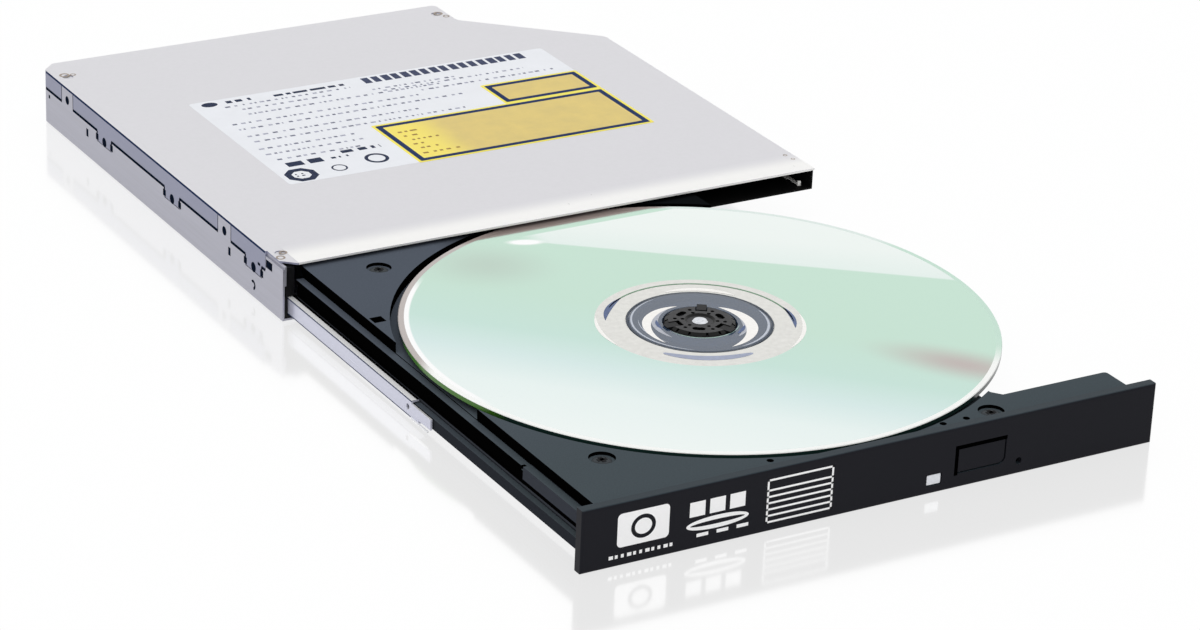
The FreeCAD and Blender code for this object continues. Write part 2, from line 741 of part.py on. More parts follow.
# Upright board behind the bezel, with the switch and the lamp
panel_thick = 0.8
button_board = join(
    box(lamp_left - 3.0, button_right + 2.0, switch_rear, switch_rear + panel_thick, button_low + 0.9,
        tray_under),
    box(lamp_left - 3.0, lamp_right + 2.0, switch_rear, switch_rear + panel_thick, skirt_low + 0.3,
        tray_under),
)
activity_led = box(lamp_left + 0.7, lamp_right - 0.7, switch_front + 0.1, switch_rear, lamp_low + 0.3,
                   lamp_high - 0.3)
light_pipe = upright(inset(lamp_outline, 0.2), 0.15, switch_front + 0.1)

# Rubber mounts on the tray's pins, with the wide-headed screws that hold them
ear_hole_radius = 2.25
damper_radius = 3.0
rubber_mounts = []
mount_screws = []
for x, y in mount_places:
    spool = turned([
        (mount_pin_radius, mount_pin_low),
        (damper_radius, mount_pin_low),
        (damper_radius, frame_low),
        (ear_hole_radius, frame_low),
        (ear_hole_radius, frame_top),
        (damper_radius, frame_top),
        (damper_radius, tray_under),
        (mount_pin_radius, tray_under),
    ], x, y)
    rubber_mounts.append(spool)
    head = post(x, y, mount_pin_low - 0.6, mount_pin_low, 2.5)
    shank = post(x, y, mount_pin_low - 0.1, tray_floor_top - 0.8, mount_screw_radius)
    mount_screws.append(join(head, shank))

# Mechanism frame: pressed steel with a window for the pickup and folded edges for the rods
frame_outline = [
    (frame_start, frame_left, 3.0),
    (frame_end - 6.0, frame_left, 2.0),
    (frame_end, frame_left + 6.0, 2.0),
    (frame_end, frame_right - 5.5, 2.0),
    (frame_end - 5.5, frame_right, 2.0),
    (frame_start, frame_right, 3.0),
]
frame = plate(frame_outline, frame_low, frame_top)
ear_radius = ear_hole_radius + 1.6
for u, v in mount_spots:
    frame = join(frame, post(u, v, frame_low, frame_top, ear_radius))
for u, v in mount_spots[1:]:
    reach = sorted((v, math.copysign(frame_right - 2.0, v)))
    frame = join(frame, box(u - ear_radius, u + ear_radius, reach[0], reach[1], frame_low, frame_top))
frame_cuts = [
    plate([(9.0, -17.4, 1.0), (window_reach, -17.4, 1.0), (window_reach, 17.4, 1.0), (9.0, 17.4, 1.0)],
          frame_low - over, frame_top + over),
    post(0, 0, frame_low - over, frame_top + over, bell_radius + 1.0),
]
for u, v in mount_spots:
    frame_cuts.append(post(u, v, frame_low - over, frame_top + over, ear_hole_radius))
frame = frame.cut(frame_cuts)
fold_low = pickup_low + 0.2
fold_end = frame_end - 8.0
left_fold = box(-4.0, fold_end, frame_left, frame_left + frame_sheet, fold_low, frame_low + 0.1)
right_fold = box(15.0, fold_end, frame_right - frame_sheet, frame_right, fold_low, frame_low + 0.1)
frame = join(frame, left_fold, right_fold)
rod_start = 3.2
rod_stop = frame_end - 1.0
for side in (-1, 1):
    centre = side * rod_offset
    inner_block = box(3.0, 7.0, centre - 2.1, centre + 2.1, 2.6, frame_low + 0.1)
    outer_block = box(window_reach + 0.2, frame_end - 0.4, centre - 2.1, centre + 2.1, 2.6, frame_low + 0.1)
    outer_block = outer_block.common(plate(frame_outline, 0, frame_top))
    frame = join(frame, inner_block, outer_block)
for side, radius in ((-1, main_rod_radius), (1, side_rod_radius)):
    frame = frame.cut(rod_x(side * rod_offset, rod_height, rod_start, rod_stop, radius))
screw_bracket_start = frame_end - 5.0
bracket = box(screw_bracket_start, screw_bracket_start + 1.2, frame_left + frame_sheet,
              frame_left + frame_sheet + 2.6, pickup_low + 1.0, frame_low)
screw_end = screw_bracket_start - 0.2
bracket = bracket.cut(rod_x(screw_offset, rod_height, screw_bracket_start - over,
                            screw_bracket_start + 1.1, neck_radius + running_gap))

# Guide rods, lead screw and its motor
main_rod = rod_x(-rod_offset, rod_height, rod_start, rod_stop, main_rod_radius)
side_rod = rod_x(rod_offset, rod_height, rod_start, rod_stop, side_rod_radius)
lead_screw = join(
    rod_x(screw_offset, rod_height, motor_end + 0.2, screw_end, screw_radius),
    rod_x(screw_offset, rod_height, motor_end - 2.0, motor_end + 0.3, neck_radius),
    rod_x(screw_offset, rod_height, screw_end - 0.1, screw_bracket_start + 0.9, neck_radius),
)
motor = rod_x(screw_offset, rod_height, motor_end - motor_length, motor_end, motor_radius)
motor_room = box(motor_end - motor_length - over, motor_end + over, screw_offset - 5, screw_offset + 5,
                 rod_height - motor_radius + 0.3, frame_low)
motor = motor.common(motor_room)
motor_clamp = box(motor_end - motor_length + 3.0, motor_end - 3.0, screw_offset + 0.2,
                  screw_offset + motor_radius + 1.2, frame_low - 0.8, frame_low)
motor = join(motor, motor_clamp)
motor = motor.cut(rod_x(screw_offset, rod_height, motor_end - 2.2, motor_end + over,
                        neck_radius + running_gap))

# Spindle motor: steel base with its bearing tube, wound stator, and rotor with the turntable
base = post(0, 0, base_low, base_low + sheet, bell_radius + 0.5)
post_ring = 14.2
for angle in (100.0, 180.0, 260.0):
    u = post_ring * math.cos(math.radians(angle))
    v = post_ring * math.sin(math.radians(angle))
    ear = post(u, v, base_low, base_low + sheet, 2.0)
    web = box(0, post_ring, -2.0, 2.0, base_low, base_low + sheet)
    web.rotate(FreeCAD.Vector(0, 0, 0), FreeCAD.Vector(0, 0, 1), angle)
    leg = post(u, v, base_low, frame_low, 1.1)
    base = join(base, ear, web, leg)
tube_radius = 2.2
flange_top = disc_under - 0.85
bearing_tube = post(0, 0, base_low, flange_top - flange_thick - 0.4, tube_radius)
base = join(base, bearing_tube)
base = base.cut(post(0, 0, base_low + sheet, flange_top, shaft_radius + running_gap))
coils = []
coil_count = 9
coil_outer = bell_radius - bell_wall - magnet_wall - 0.4
for i in range(coil_count):
    coil = box(tube_radius + 2.2, coil_outer - 0.8, -1.1, 1.1, 3.8, 6.6)
    coil = coil.makeFillet(0.4, [e for e in coil.Edges if e.BoundBox.XLength > 1.0])
    tooth = box(tube_radius - 0.1, coil_outer, -0.5, 0.5, 4.8, 5.6)
    tooth = tooth.cut(post(0, 0, 0, 10, tube_radius))
    winding = join(coil, tooth)
    winding.rotate(FreeCAD.Vector(0, 0, 0), FreeCAD.Vector(0, 0, 1), i * 360.0 / coil_count)
    coils.append(winding)
flange_low = flange_top - flange_thick
rotor = turned([
    (0, base_low + sheet + 0.3),
    (shaft_radius, base_low + sheet + 0.3),
    (shaft_radius, flange_low),
    (bell_radius - bell_wall, flange_low),
    (bell_radius - bell_wall, bell_low),
    (bell_radius, bell_low),
    (bell_radius, flange_low),
    (flange_radius, flange_low + 0.3),
    (flange_radius, flange_top),
    (0, flange_top),
], 0, 0)
magnet = turned([
    (bell_radius - bell_wall - magnet_wall, bell_low + 0.4),
    (bell_radius - bell_wall, bell_low + 0.4),
    (bell_radius - bell_wall, flange_low - 0.8),
    (bell_radius - bell_wall - magnet_wall, flange_low - 0.8),
], 0, 0)
pad = turned([
    (pad_inner, flange_top),
    (flange_radius - 0.2, flange_top),
    (flange_radius - 0.2, disc_under),
    (pad_inner, disc_under),
], 0, 0)
hub = turned([
    (hub_pin_radius, flange_top),
    (hub_radius, flange_top),
    (hub_radius, disc_top - 0.3),
    (hub_radius - 0.25, disc_top + 0.1),
    (hub_radius - 0.9, hub_top),
    (3.1, hub_top),
    (2.6, hub_top - 0.35),
    (hub_pin_radius, hub_top - 0.35),
], 0, 0)
hub_cuts = []
pawl_start = 5.0
pawl_nose = hub_radius + 0.5
# Each hole's turn from the pawl before it, its place outward and its radius. Three in a row
# make a long hole half way between two pawls.
hub_hole_places = [
    (52.0, 4.5, 0.7),
    (60.0, 4.5, 0.7),
    (68.0, 4.5, 0.7),
    (27.0, 3.5, 0.4),
    (93.0, 3.5, 0.4),
    (27.0, 5.0, 0.4),
    (93.0, 5.0, 0.4),
]
hub_mark_turns = (22.0, 45.0, 75.0, 98.0)
for i in range(pawl_count):
    angle = pawl_angle + i * 360.0 / pawl_count
    slot = box(pawl_start - pawl_travel - 0.2, hub_radius + over, -pawl_width / 2 - 0.2, pawl_width / 2 + 0.2,
               disc_under + 0.15, hub_top + over)
    slot.rotate(FreeCAD.Vector(0, 0, 0), FreeCAD.Vector(0, 0, 1), angle)
    hub_cuts.append(slot)
    for turn, out, radius in hub_hole_places:
        u = out * math.cos(math.radians(angle + turn))
        v = out * math.sin(math.radians(angle + turn))
        hub_cuts.append(post(u, v, hub_top - 0.7, hub_top + over, radius))
    for turn in hub_mark_turns:
        mark = box(hub_radius - 0.9, hub_radius + over, -0.25, 0.25, disc_top - 0.1, hub_top + over)
        mark.rotate(FreeCAD.Vector(0, 0, 0), FreeCAD.Vector(0, 0, 1), angle + turn)
        hub_cuts.append(mark)
hub = hub.cut(hub_cuts)
hub_pin = turned([
    (0, flange_top),
    (hub_pin_radius, flange_top),
    (hub_pin_radius, hub_top - 0.3),
    (hub_pin_radius - 0.3, hub_top - 0.05),
    (0.8, hub_top - 0.05),
    (0, hub_top - 0.6),
], 0, 0)
pawls = []
for i in range(pawl_count):
    body = box(pawl_start, hub_radius - 0.1, -pawl_width / 2, pawl_width / 2, disc_under + 0.35,
               hub_top - 0.1)
    nose = box(hub_radius - 0.2, pawl_nose, -pawl_width / 2, pawl_width / 2, disc_top + 0.15, hub_top - 0.1)
    pawl = join(body, nose)
    pawl.rotate(FreeCAD.Vector(0, 0, 0), FreeCAD.Vector(0, 0, 1), pawl_angle + i * 360.0 / pawl_count)
    pawls.append(pawl)

# Disc: a plain pressed disc with the stacking ring moulded under its clear centre
stack_ring = 14.3
disc = turned([
    (disc_hole, disc_under),
    (stack_ring, disc_under),
    (stack_ring + 0.2, disc_under - 0.15),
    (stack_ring + 1.0, disc_under - 0.15),
    (stack_ring + 1.2, disc_under),
    (disc_radius - 0.15, disc_under),
    (disc_radius, disc_under + 0.15),
    (disc_radius, disc_top - 0.15),
    (disc_radius - 0.15, disc_top),
    (stack_ring + 1.2, disc_top),
    (stack_ring + 1.0, disc_top - 0.15),
    (stack_ring, disc_top - 0.15),
    (stack_ring - 0.2, disc_top),
    (disc_hole + 0.1, disc_top),
    (disc_hole, disc_top - 0.1),
], 0, 0)

# Pickup: a cast body on the two rods, cut away round the spindle, with the lens in a pocket
pickup = plate([
    (pickup_inner, -pickup_half_width, 1.5),
    (pickup_outer, -pickup_half_width, 1.5),
    (pickup_outer, pickup_half_width, 1.5),
    (pickup_inner, pickup_half_width, 1.5),
], pickup_low, pickup_high)
pocket_low = 4.9
pocket_start = lens_inner - 4.5
pocket_stop = lens_inner + 4.5
pickup_cuts = [
    post(0, 0, 0, pickup_high + over, bell_radius + 1.0),
    plate([(pocket_start, -7.0, 0.8), (pocket_stop, -7.0, 0.8), (pocket_stop, 7.0, 0.8),
           (pocket_start, 7.0, 0.8)], pocket_low, pickup_high + over),
    rod_x(-rod_offset, rod_height, 0, pickup_outer + over, main_rod_radius + running_gap),
    box(0, pickup_outer + over, rod_offset - side_rod_radius - running_gap, pickup_half_width + over,
        rod_height - side_rod_radius - running_gap, rod_height + side_rod_radius + running_gap),
    box(pickup_inner + 4.0, pickup_outer - 4.0, -pickup_half_width + 6.5, -8.5, pickup_high - 2.0,
        pickup_high + over),
    box(pickup_inner + 4.0, pickup_outer - 4.0, 8.5, pickup_half_width - 5.5, pickup_high - 2.0,
        pickup_high + over),
    box(pickup_inner - over, pickup_outer + over, -9.0, 9.0, 0, pickup_low + 0.8),
]
pickup = pickup.cut(pickup_cuts)
cap_outline = [
    (pickup_inner + 3.0, -8.3, 1.0),
    (pickup_outer - 0.3, -8.3, 1.0),
    (pickup_outer - 0.3, 8.3, 1.0),
    (pickup_inner + 3.0, 8.3, 1.0),
]
pickup_cover = plate(cap_outline, pickup_high, pickup_high + 0.15)
pickup_cover = pickup_cover.cut([
    post(0, 0, 0, 12, bell_radius + 1.2),
    plate([(lens_inner - 4.0, -5.3, 1.0), (lens_inner + 4.0, -5.3, 1.0), (lens_inner + 4.0, 5.3, 1.0),
           (lens_inner - 4.0, 5.3, 1.0)], 0, 12),
])
follower_low = rod_height + screw_radius + 0.25
follower = join(
    box(lens_inner - 3.0, lens_inner + 3.0, screw_offset - 0.9, -pickup_half_width, follower_low,
        follower_low + 0.5),
    box(lens_inner - 3.0, lens_inner + 3.0, -pickup_half_width - 0.3, -pickup_half_width,
        rod_height - 1.0, follower_low + 0.1),
)
magnet_gap = lens_inner - 3.6
focus_magnets = [
    box(pocket_start + 0.05, magnet_gap, -3.0, 3.0, pocket_low, pickup_high - 0.2),
    box(2 * lens_inner - magnet_gap, pocket_stop - 0.05, -3.0, 3.0, pocket_low, pickup_high - 0.2),
]
lens_seat_radius = 2.0
holder = plate([
    (lens_inner - 3.1, -4.5, 0.8),
    (lens_inner + 3.1, -4.5, 0.8),
    (lens_inner + 3.1, 4.5, 0.8),
    (lens_inner - 3.1, 4.5, 0.8),
], pocket_low + focus_travel + 0.2, 8.3)
holder = holder.cut(post(lens_inner, 0, 7.3, 9.0, lens_seat_radius))
holder = holder.cut(post(lens_inner, 0, 0, 9.0, lens_seat_radius - 0.5))
lens_profile = [(0, 7.3), (lens_seat_radius, 7.3), (lens_seat_radius, 8.1)]
for step in range(1, 7):
    angle = math.radians(15.0 * step)
    lens_profile.append((lens_seat_radius * math.cos(angle), 8.1 + 0.8 * math.sin(angle)))
lens = turned(lens_profile, lens_inner, 0)

# Latch: the lever turns on a pin under the deck and hooks behind the post on the case floor
latch_pin = join(post(latch_x, latch_y, skirt_low + 0.3, tray_under, 1.0),
                 post(latch_x, latch_y, skirt_low + 0.3, latch_low - 0.15, 1.9))
hook_x = channel_left - 0.4
hook_y = post_y + post_radius + 0.3
lever_outline = [
    (latch_x - 2.2, latch_y - 1.0, 0.6),
    (pinhole_x - 3.0, latch_y - 1.0),
    (pinhole_x + 0.3, latch_y - 0.8, 0.5),
    (pinhole_x + 0.3, latch_y + 0.6, 0.5),
    (latch_x + 3.4, latch_y + 1.2, 1.0),
    (hook_x + 1.0, hook_y, 0.4),
    (post_x + 1.0, hook_y, 0.3),
    (post_x + 0.2, hook_y + 2.0, 0.6),
    (hook_x - 1.2, hook_y + 1.8, 0.8),
    (latch_x - 1.2, latch_y + 5.0),
]
lever = plate(lever_outline, latch_low, latch_low + latch_thick)
lever = join(lever, post(latch_x, latch_y, latch_low, latch_low + latch_thick + 0.5, 2.3))
link_x = latch_x + 0.6
link_radius = 0.7
lever = join(lever, post(link_x, plunger_y, latch_low + 0.1, latch_low + latch_thick + 1.7, link_radius))
lever = lever.cut(post(latch_x, latch_y, 0, tray_top, 1.0 + running_gap))
plunger_z = latch_low + latch_thick + 0.9
coil_left = latch_x - 16.0
coil_right = latch_x - 6.0
solenoid = box(coil_left, coil_right, plunger_y - 3.2, plunger_y + 3.2, skirt_low + 0.3, tray_under - 1.2)
solenoid = solenoid.makeFillet(0.6, [e for e in solenoid.Edges if e.BoundBox.XLength > 5.0])
solenoid_window = rod_x(plunger_y, plunger_z, coil_left + 2.0, coil_right + over, 1.2 + running_gap)
solenoid = solenoid.cut(solenoid_window)
solenoid_bracket = box(coil_left - 0.6, coil_left, plunger_y - 3.6, plunger_y + 3.6, skirt_low + 0.3,
                       tray_under)
solenoid_frame = join(solenoid_bracket,
                      box(coil_left - 0.6, coil_right, plunger_y - 3.6, plunger_y + 3.6,
                          tray_under - 1.2, tray_under - 0.7),
                      box(coil_left + 2.0, coil_left + 4.0, plunger_y - 3.0, plunger_y + 3.0,
                          tray_under - 0.8, tray_under))
solenoid_plunger = join(
    rod_x(plunger_y, plunger_z, coil_left + 5.0, link_x - 2.0, 1.2),
    box(link_x - 2.6, link_x + 1.5, plunger_y - 1.7, plunger_y + 1.7, plunger_z - 0.6, plunger_z + 0.6),
)
solenoid_plunger = solenoid_plunger.cut(box(link_x - link_radius - 0.1, link_x + link_radius + 0.1,
                                            plunger_y - 1.2, plunger_y + 1.2, 0, 12))

# Bottom cover of the tray, open over the latch post's channel and the flat cable
cover_low = skirt_low - cover_sheet
cover_step = 38.0
cable_right = cable_left + cable_width
bottom_cover = plate([
    (skirt_left + 0.2, bezel_depth + 0.2, 1.0),
    (channel_left - 0.8, bezel_depth + 0.2, 1.0),
    (channel_left - 0.8, cover_step, 1.0),
    (cable_left - 1.5, cover_step, 1.0),
    (cable_left - 1.5, deep_tray_end - 0.2, 1.0),
    (skirt_left + 0.2, deep_tray_end - 0.2, 1.0),
], cover_low, skirt_low)
for x, y in cover_boss_places:
    bottom_cover = bottom_cover.cut(post(x, y, 0, skirt_low + over, cover_screw_shank))
bottom_cover_screws = []
for x, y in cover_boss_places:
    head = post(x, y, cover_low - 0.2, cover_low, 1.4)
    shank = post(x, y, cover_low - 0.1, skirt_low + 2.8, cover_screw_shank)
    bottom_cover_screws.append(join(head, shank))

# Main board behind the tray, its chips, its screws and the connector in the rear wall
main_board = plate([
    (board_left, board_front, 1.0),
    (board_right, board_front, 1.0),
    (board_right, board_rear, 1.0),
    (board_left + 2.0, board_rear, 1.0),
    (board_left, board_rear - 2.0, 1.0),
], board_low, board_top)
board_screws = []
for x, y in board_screw_places:
    main_board = main_board.cut(post(x, y, 0, board_top + over, board_screw_radius))
    head = post(x, y, board_top, board_top + 0.9, 1.8)
    shank = post(x, y, case_bottom + 0.1, board_top + 0.1, board_screw_radius)
    slot = box(x - 1.1, x + 1.1, y - 0.2, y + 0.2, board_top + 0.55, board_top + over)
    board_screws.append(join(head, shank).cut(slot))
# Each chip's place from the board's left front corner, its length, width and height
chip_sizes = [
    (51.0, 10.4, 12.0, 12.0, 1.4),
    (66.0, 12.9, 7.0, 9.0, 1.1),
    (78.0, 17.4, 6.0, 6.0, 1.0),
    (20.0, 7.4, 6.0, 5.0, 1.2),
    (32.0, 6.4, 4.0, 4.0, 1.0),
    (44.0, 19.9, 4.5, 3.0, 1.5),
]
chips = []
for right, back, length, width, height in chip_sizes:
    x = board_left + right
    y = board_front + back
    chips.append(box(x - length / 2, x + length / 2, y - width / 2, y + width / 2, board_top,
                     board_top + height))
plug_left = plug_x - plug_width / 2
plug_right = plug_x + plug_width / 2
rear_plug = box(plug_left, plug_right, board_rear - 7.0, case_depth - 0.1, board_top, plug_high)
split = plug_left + plug_width * 0.56
plug_mouths = [
    box(plug_left + 1.2, split - 0.6, board_rear - 3.5, case_depth + over, board_top + 1.0, plug_high - 1.0),
    box(split + 0.6, plug_right - 1.2, board_rear - 3.5, case_depth + over, board_top + 1.0, plug_high - 1.0),
]
tongues = [
    box(plug_left + 1.7, split - 1.1, board_rear - 4.0, case_depth - 0.5, board_top + 1.3, board_top + 2.3),
    box(split + 1.1, plug_right - 1.7, board_rear - 4.0, case_depth - 0.5, board_top + 1.3, board_top + 2.3),
]
rear_plug = join(rear_plug.cut(plug_mouths), *tongues)
contact_pitch = 1.27
contact_width = 0.6
contacts = []
for start, stop in ((plug_left + 2.2, split - 1.5), (split + 1.5, plug_right - 2.2)):
    x = start
    while x + contact_width < stop:
        contacts.append(box(x, x + contact_width, board_rear - 3.0, case_depth - 0.7, board_top + 2.3,
                            board_top + 2.45))
        x += contact_pitch

# Flat cable: from its socket on the board, along the case floor, and up to a clamp on the tray
socket_front = board_front + 0.6
flex_socket = box(cable_left - 1.0, cable_right + 1.0, socket_front, socket_front + 3.4, board_top,
                  cable_high + 1.1)
clamp_y = deep_tray_end + tray_shift
cable_low = floor_top + 0.1
cable_line = [
    (socket_front, cable_high),
    (board_front - 1.6, cable_high),
    (board_front - 5.0, cable_low),
    (5.0, cable_low),
    (clamp_y + 5.0, cable_high),
    (clamp_y, cable_high),
]
cable_points = [FreeCAD.Vector(cable_left, y, z) for y, z in cable_line]
cable_points += [FreeCAD.Vector(cable_left, y, z + cable_thick) for y, z in reversed(cable_line)]
cable_points.append(cable_points[0])
flex_cable = Part.Face(Part.makePolygon(cable_points)).extrude(FreeCAD.Vector(cable_width, 0, 0))
flex_clamp = box(cable_left - 0.5, cable_right + 0.5, deep_tray_end, deep_tray_end + 1.8,
                 cable_high + cable_thick, cable_high + cable_thick + 1.4)

# Ejector: a spring-loaded plunger at the rear of the tray, pressed in by a tab of the case
collar_front = seat_rear + spring_length
eject_plunger = join(
    rod_y(ejector_x, ejector_z, collar_front - 5.0, deep_tray_end + ejector_reach, ejector_radius),
    rod_y(ejector_x, ejector_z, collar_front, collar_front + 1.6, ejector_radius + 0.9),
)
spring_inner = ejector_radius + 0.25
eject_spring = rod_y(ejector_x, ejector_z, seat_rear, collar_front, spring_inner + 0.6)
eject_spring = eject_spring.cut(rod_y(ejector_x, ejector_z, seat_rear - over, collar_front + over,
                                      spring_inner))

# Fixed to the case
save("bottom_case", bottom_case)
save("top_cover", top_cover)
save("left_rail_guide", left_guide)
save("right_rail_guide", right_guide)
save("main_board", main_board)
save("board_chips", Part.makeCompound(chips))
save("board_screws", Part.makeCompound(board_screws))
save("cover_screws", Part.makeCompound(cover_screws))
save("rear_connector", rear_plug)
save("connector_contacts", Part.makeCompound(contacts))
save("flex_socket", flex_socket)
save("flex_cable", flex_cable)
save("latch_post", latch_post)
save("ground_spring", ground_spring)

# Rails
save("left_rail", left_rail)
save("right_rail", right_rail)

# On the tray
tray_pieces = {
    "tray": tray,
    "bezel": bezel,
    "light_pipe": light_pipe,
    "button_board": button_board,
    "button_switch": button_switch,
    "activity_led": activity_led,
    "eject_button": eject_button,
    "switch_plunger": switch_plunger,
    "rubber_mounts": Part.makeCompound(rubber_mounts),
    "mount_screws": Part.makeCompound(mount_screws),
    "tray_bottom_cover": bottom_cover,
    "bottom_cover_screws": Part.makeCompound(bottom_cover_screws),
    "latch_pin": latch_pin,
    "latch_lever": lever,
    "solenoid_coil": solenoid,
    "solenoid_bracket": solenoid_frame,
    "solenoid_plunger": solenoid_plunger,
    "flex_clamp": flex_clamp,
    "eject_plunger": eject_plunger,
    "eject_spring": eject_spring,
}
for node, shape in tray_pieces.items():
    save(node, on_tray(shape))

# On the pickup's travel
travel_pieces = {
    "mechanism_frame": frame,
    "screw_bracket": bracket,
    "main_guide_rod": main_rod,
    "side_guide_rod": side_rod,
    "lead_screw": lead_screw,
    "sled_motor": motor,
    "spindle_base": base,
    "stator_coils": Part.makeCompound(coils),
    "spindle_rotor": rotor,
    "rotor_magnet": magnet,
    "turntable_pad": pad,
    "clamp_hub": hub,
    "hub_pin": hub_pin,
    "pawl_1": pawls[0],
    "pawl_2": pawls[1],
    "pawl_3": pawls[2],
    "disc": disc,
    "pickup_body": pickup,
    "pickup_cover": pickup_cover,
    "screw_follower": follower,
    "focus_magnets": Part.makeCompound(focus_magnets),
    "lens_holder": holder,
    "objective_lens": lens,
}
for node, shape in travel_pieces.items():
    save(node, on_tray(on_travel(shape)))
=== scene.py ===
import math
import random

import bmesh
import bpy
from mathutils import Matrix, Vector


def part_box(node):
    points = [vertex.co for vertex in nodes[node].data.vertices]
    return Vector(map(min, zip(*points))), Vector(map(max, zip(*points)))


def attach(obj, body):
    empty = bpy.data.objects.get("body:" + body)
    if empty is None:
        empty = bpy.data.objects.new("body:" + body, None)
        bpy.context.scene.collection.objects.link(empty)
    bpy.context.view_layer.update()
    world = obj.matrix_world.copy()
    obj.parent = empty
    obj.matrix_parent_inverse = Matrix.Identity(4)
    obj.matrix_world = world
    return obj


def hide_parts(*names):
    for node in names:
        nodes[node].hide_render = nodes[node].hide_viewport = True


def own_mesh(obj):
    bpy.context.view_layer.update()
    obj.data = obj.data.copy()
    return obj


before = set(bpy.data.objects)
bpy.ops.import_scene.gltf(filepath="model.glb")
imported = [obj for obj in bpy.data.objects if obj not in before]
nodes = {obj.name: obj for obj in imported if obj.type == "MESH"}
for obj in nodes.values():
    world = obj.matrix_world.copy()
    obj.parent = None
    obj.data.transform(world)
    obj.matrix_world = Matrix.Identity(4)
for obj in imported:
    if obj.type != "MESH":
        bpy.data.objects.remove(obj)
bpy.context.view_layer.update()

# Camera
# A long lens from the left and above, worked out from the bezel's and the disc's known sizes.
bezel_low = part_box("bezel")[0]
camera_from_bezel = Vector((-0.32872, -0.55052, 0.33577))
camera_turn = math.radians(-30.977)
camera_tilt = math.radians(23.923)
camera_roll = math.radians(2.487)


def add_object(name, data):
    """Put a new object in the scene."""
    thing = bpy.data.objects.new(name, data)
    bpy.context.scene.collection.objects.link(thing)
    return thing


camera_data = bpy.data.cameras.new("camera")
camera_data.lens = 120.54
camera_data.sensor_width = 36.0
camera_data.clip_start = 0.05
camera_data.clip_end = 20.0
camera = add_object("camera", camera_data)
camera.matrix_world = (
    Matrix.Translation(Vector((bezel_low.x, bezel_low.y, 0)) + camera_from_bezel)
    @ Matrix.Rotation(camera_turn, 4, "Z")
    @ Matrix.Rotation(math.radians(90) - camera_tilt, 4, "X")
    @ Matrix.Rotation(camera_roll, 4, "Z")
)
bpy.context.scene.camera = camera


# Pressed case
# A tub of bright cold rolled sheet, 0.4 mm thick, with a shallow wing over the right side.
# The rolling leaves a fine grain along the sheet.
def add_node(tree, kind, inputs, **settings):
    """Add a shader node with its settings, and link or set each of its inputs."""
    node = tree.nodes.new("ShaderNode" + kind)
    for key, value in settings.items():
        setattr(node, key, value)
    for place, value in inputs.items():
        if isinstance(value, bpy.types.NodeSocket):
            tree.links.new(value, node.inputs[place])
        else:
            node.inputs[place].default_value = value
    return node


def map_range(value, low, high, to_low=0.0, to_high=1.0, smooth=False):
    """A number that runs between two others as a value runs from low to high."""
    kind = "SMOOTHSTEP" if smooth else "LINEAR"
    ends = {"Value": value, "From Min": low, "From Max": high, "To Min": to_low, "To Max": to_high}
    return add_node(value.id_data, "MapRange", ends, interpolation_type=kind).outputs["Result"]


def mix_colors(factor, first, second, kind="MIX"):
    """Mix two colours by a factor; each is a socket or a plain colour or number, but not all are plain."""
    ends = {"Factor": factor}
    for place, color in (("A", first), ("B", second)):
        ends[place] = (*color, 1.0) if isinstance(color, tuple) else color
    tree = next(end.id_data for end in ends.values() if isinstance(end, bpy.types.NodeSocket))
    return add_node(tree, "Mix", ends, data_type="RGBA", blend_type=kind).outputs["Result"]


def shader_of(material):
    """The main shader of a material."""
    return material.node_tree.nodes["Principled BSDF"]


def color_of(material):
    """The socket that gives a material its colour."""
    return shader_of(material).inputs["Base Color"].links[0].from_socket


def set_color(material, color):
    """Let a socket give a material its colour."""
    material.node_tree.links.new(color, shader_of(material).inputs["Base Color"])


def fine_grain(name, color, roughness, grain, vary=0.05, metallic=0.0, specular=0.5, bump=0.00001,
               along=(1, 1, 1), constants=()):
    """A material whose colour, gloss and relief vary with so many grains to the metre along each axis."""
    gloss_spread = 0.06
    material = bpy.data.materials.new(name)
    material.use_nodes = True
    tree = material.node_tree
    shader = shader_of(material)
    for socket, value in (("Metallic", metallic), ("Specular IOR Level", specular), *constants):
        shader.inputs[socket].default_value = value
    place = add_node(tree, "TexCoord", {}).outputs["Object"]
    scale = [grain * share for share in along]
    stretched = add_node(tree, "Mapping", {"Vector": place, "Scale": scale}).outputs["Vector"]
    noise = add_node(tree, "TexNoise", {"Vector": stretched, "Scale": 1.0, "Detail": 5.0, "Roughness": 0.6})
    grains = noise.outputs["Fac"]
    tone = add_node(tree, "ValToRGB", {"Fac": grains})
    for element, position, share in zip(tone.color_ramp.elements, (0.25, 0.75), (1 - vary, 1 + vary)):
        element.position = position
        element.color = [min(part * share, 1.0) for part in color] + [1.0]
    set_color(material, tone.outputs["Color"])
    gloss = map_range(grains, 0.0, 1.0, max(roughness - gloss_spread, 0.02), roughness + gloss_spread)
    tree.links.new(gloss, shader.inputs["Roughness"])
    relief = add_node(tree, "Bump", {"Distance": bump, "Strength": 0.6, "Height": grains})
    tree.links.new(relief.outputs["Normal"], shader.inputs["Normal"])
    return material


def dress(material, *parts):
    """Give carried-over parts their material."""
    for part in parts:
        nodes[part].data.materials.clear()
        nodes[part].data.materials.append(material)


def shade_by_facing(material, other, start=0.75, stop=0.9):
    """Keep the material's colour on faces that look up, as their lit colour, and paint all the others another
    colour as their shade.
    """
    tree = material.node_tree
    facing = add_node(tree, "NewGeometry", {}).outputs["True Normal"]
    upward = add_node(tree, "SeparateXYZ", {"Vector": facing}).outputs["Z"]
    set_color(material, mix_colors(map_range(upward, start, stop), other, color_of(material)))


case_steel = fine_grain("case_steel", (0.42, 0.42, 0.485), 0.36, 1500, 0.06, metallic=0.55,
                        along=(0.15, 0.02, 1.0))
dress(case_steel, "bottom_case")
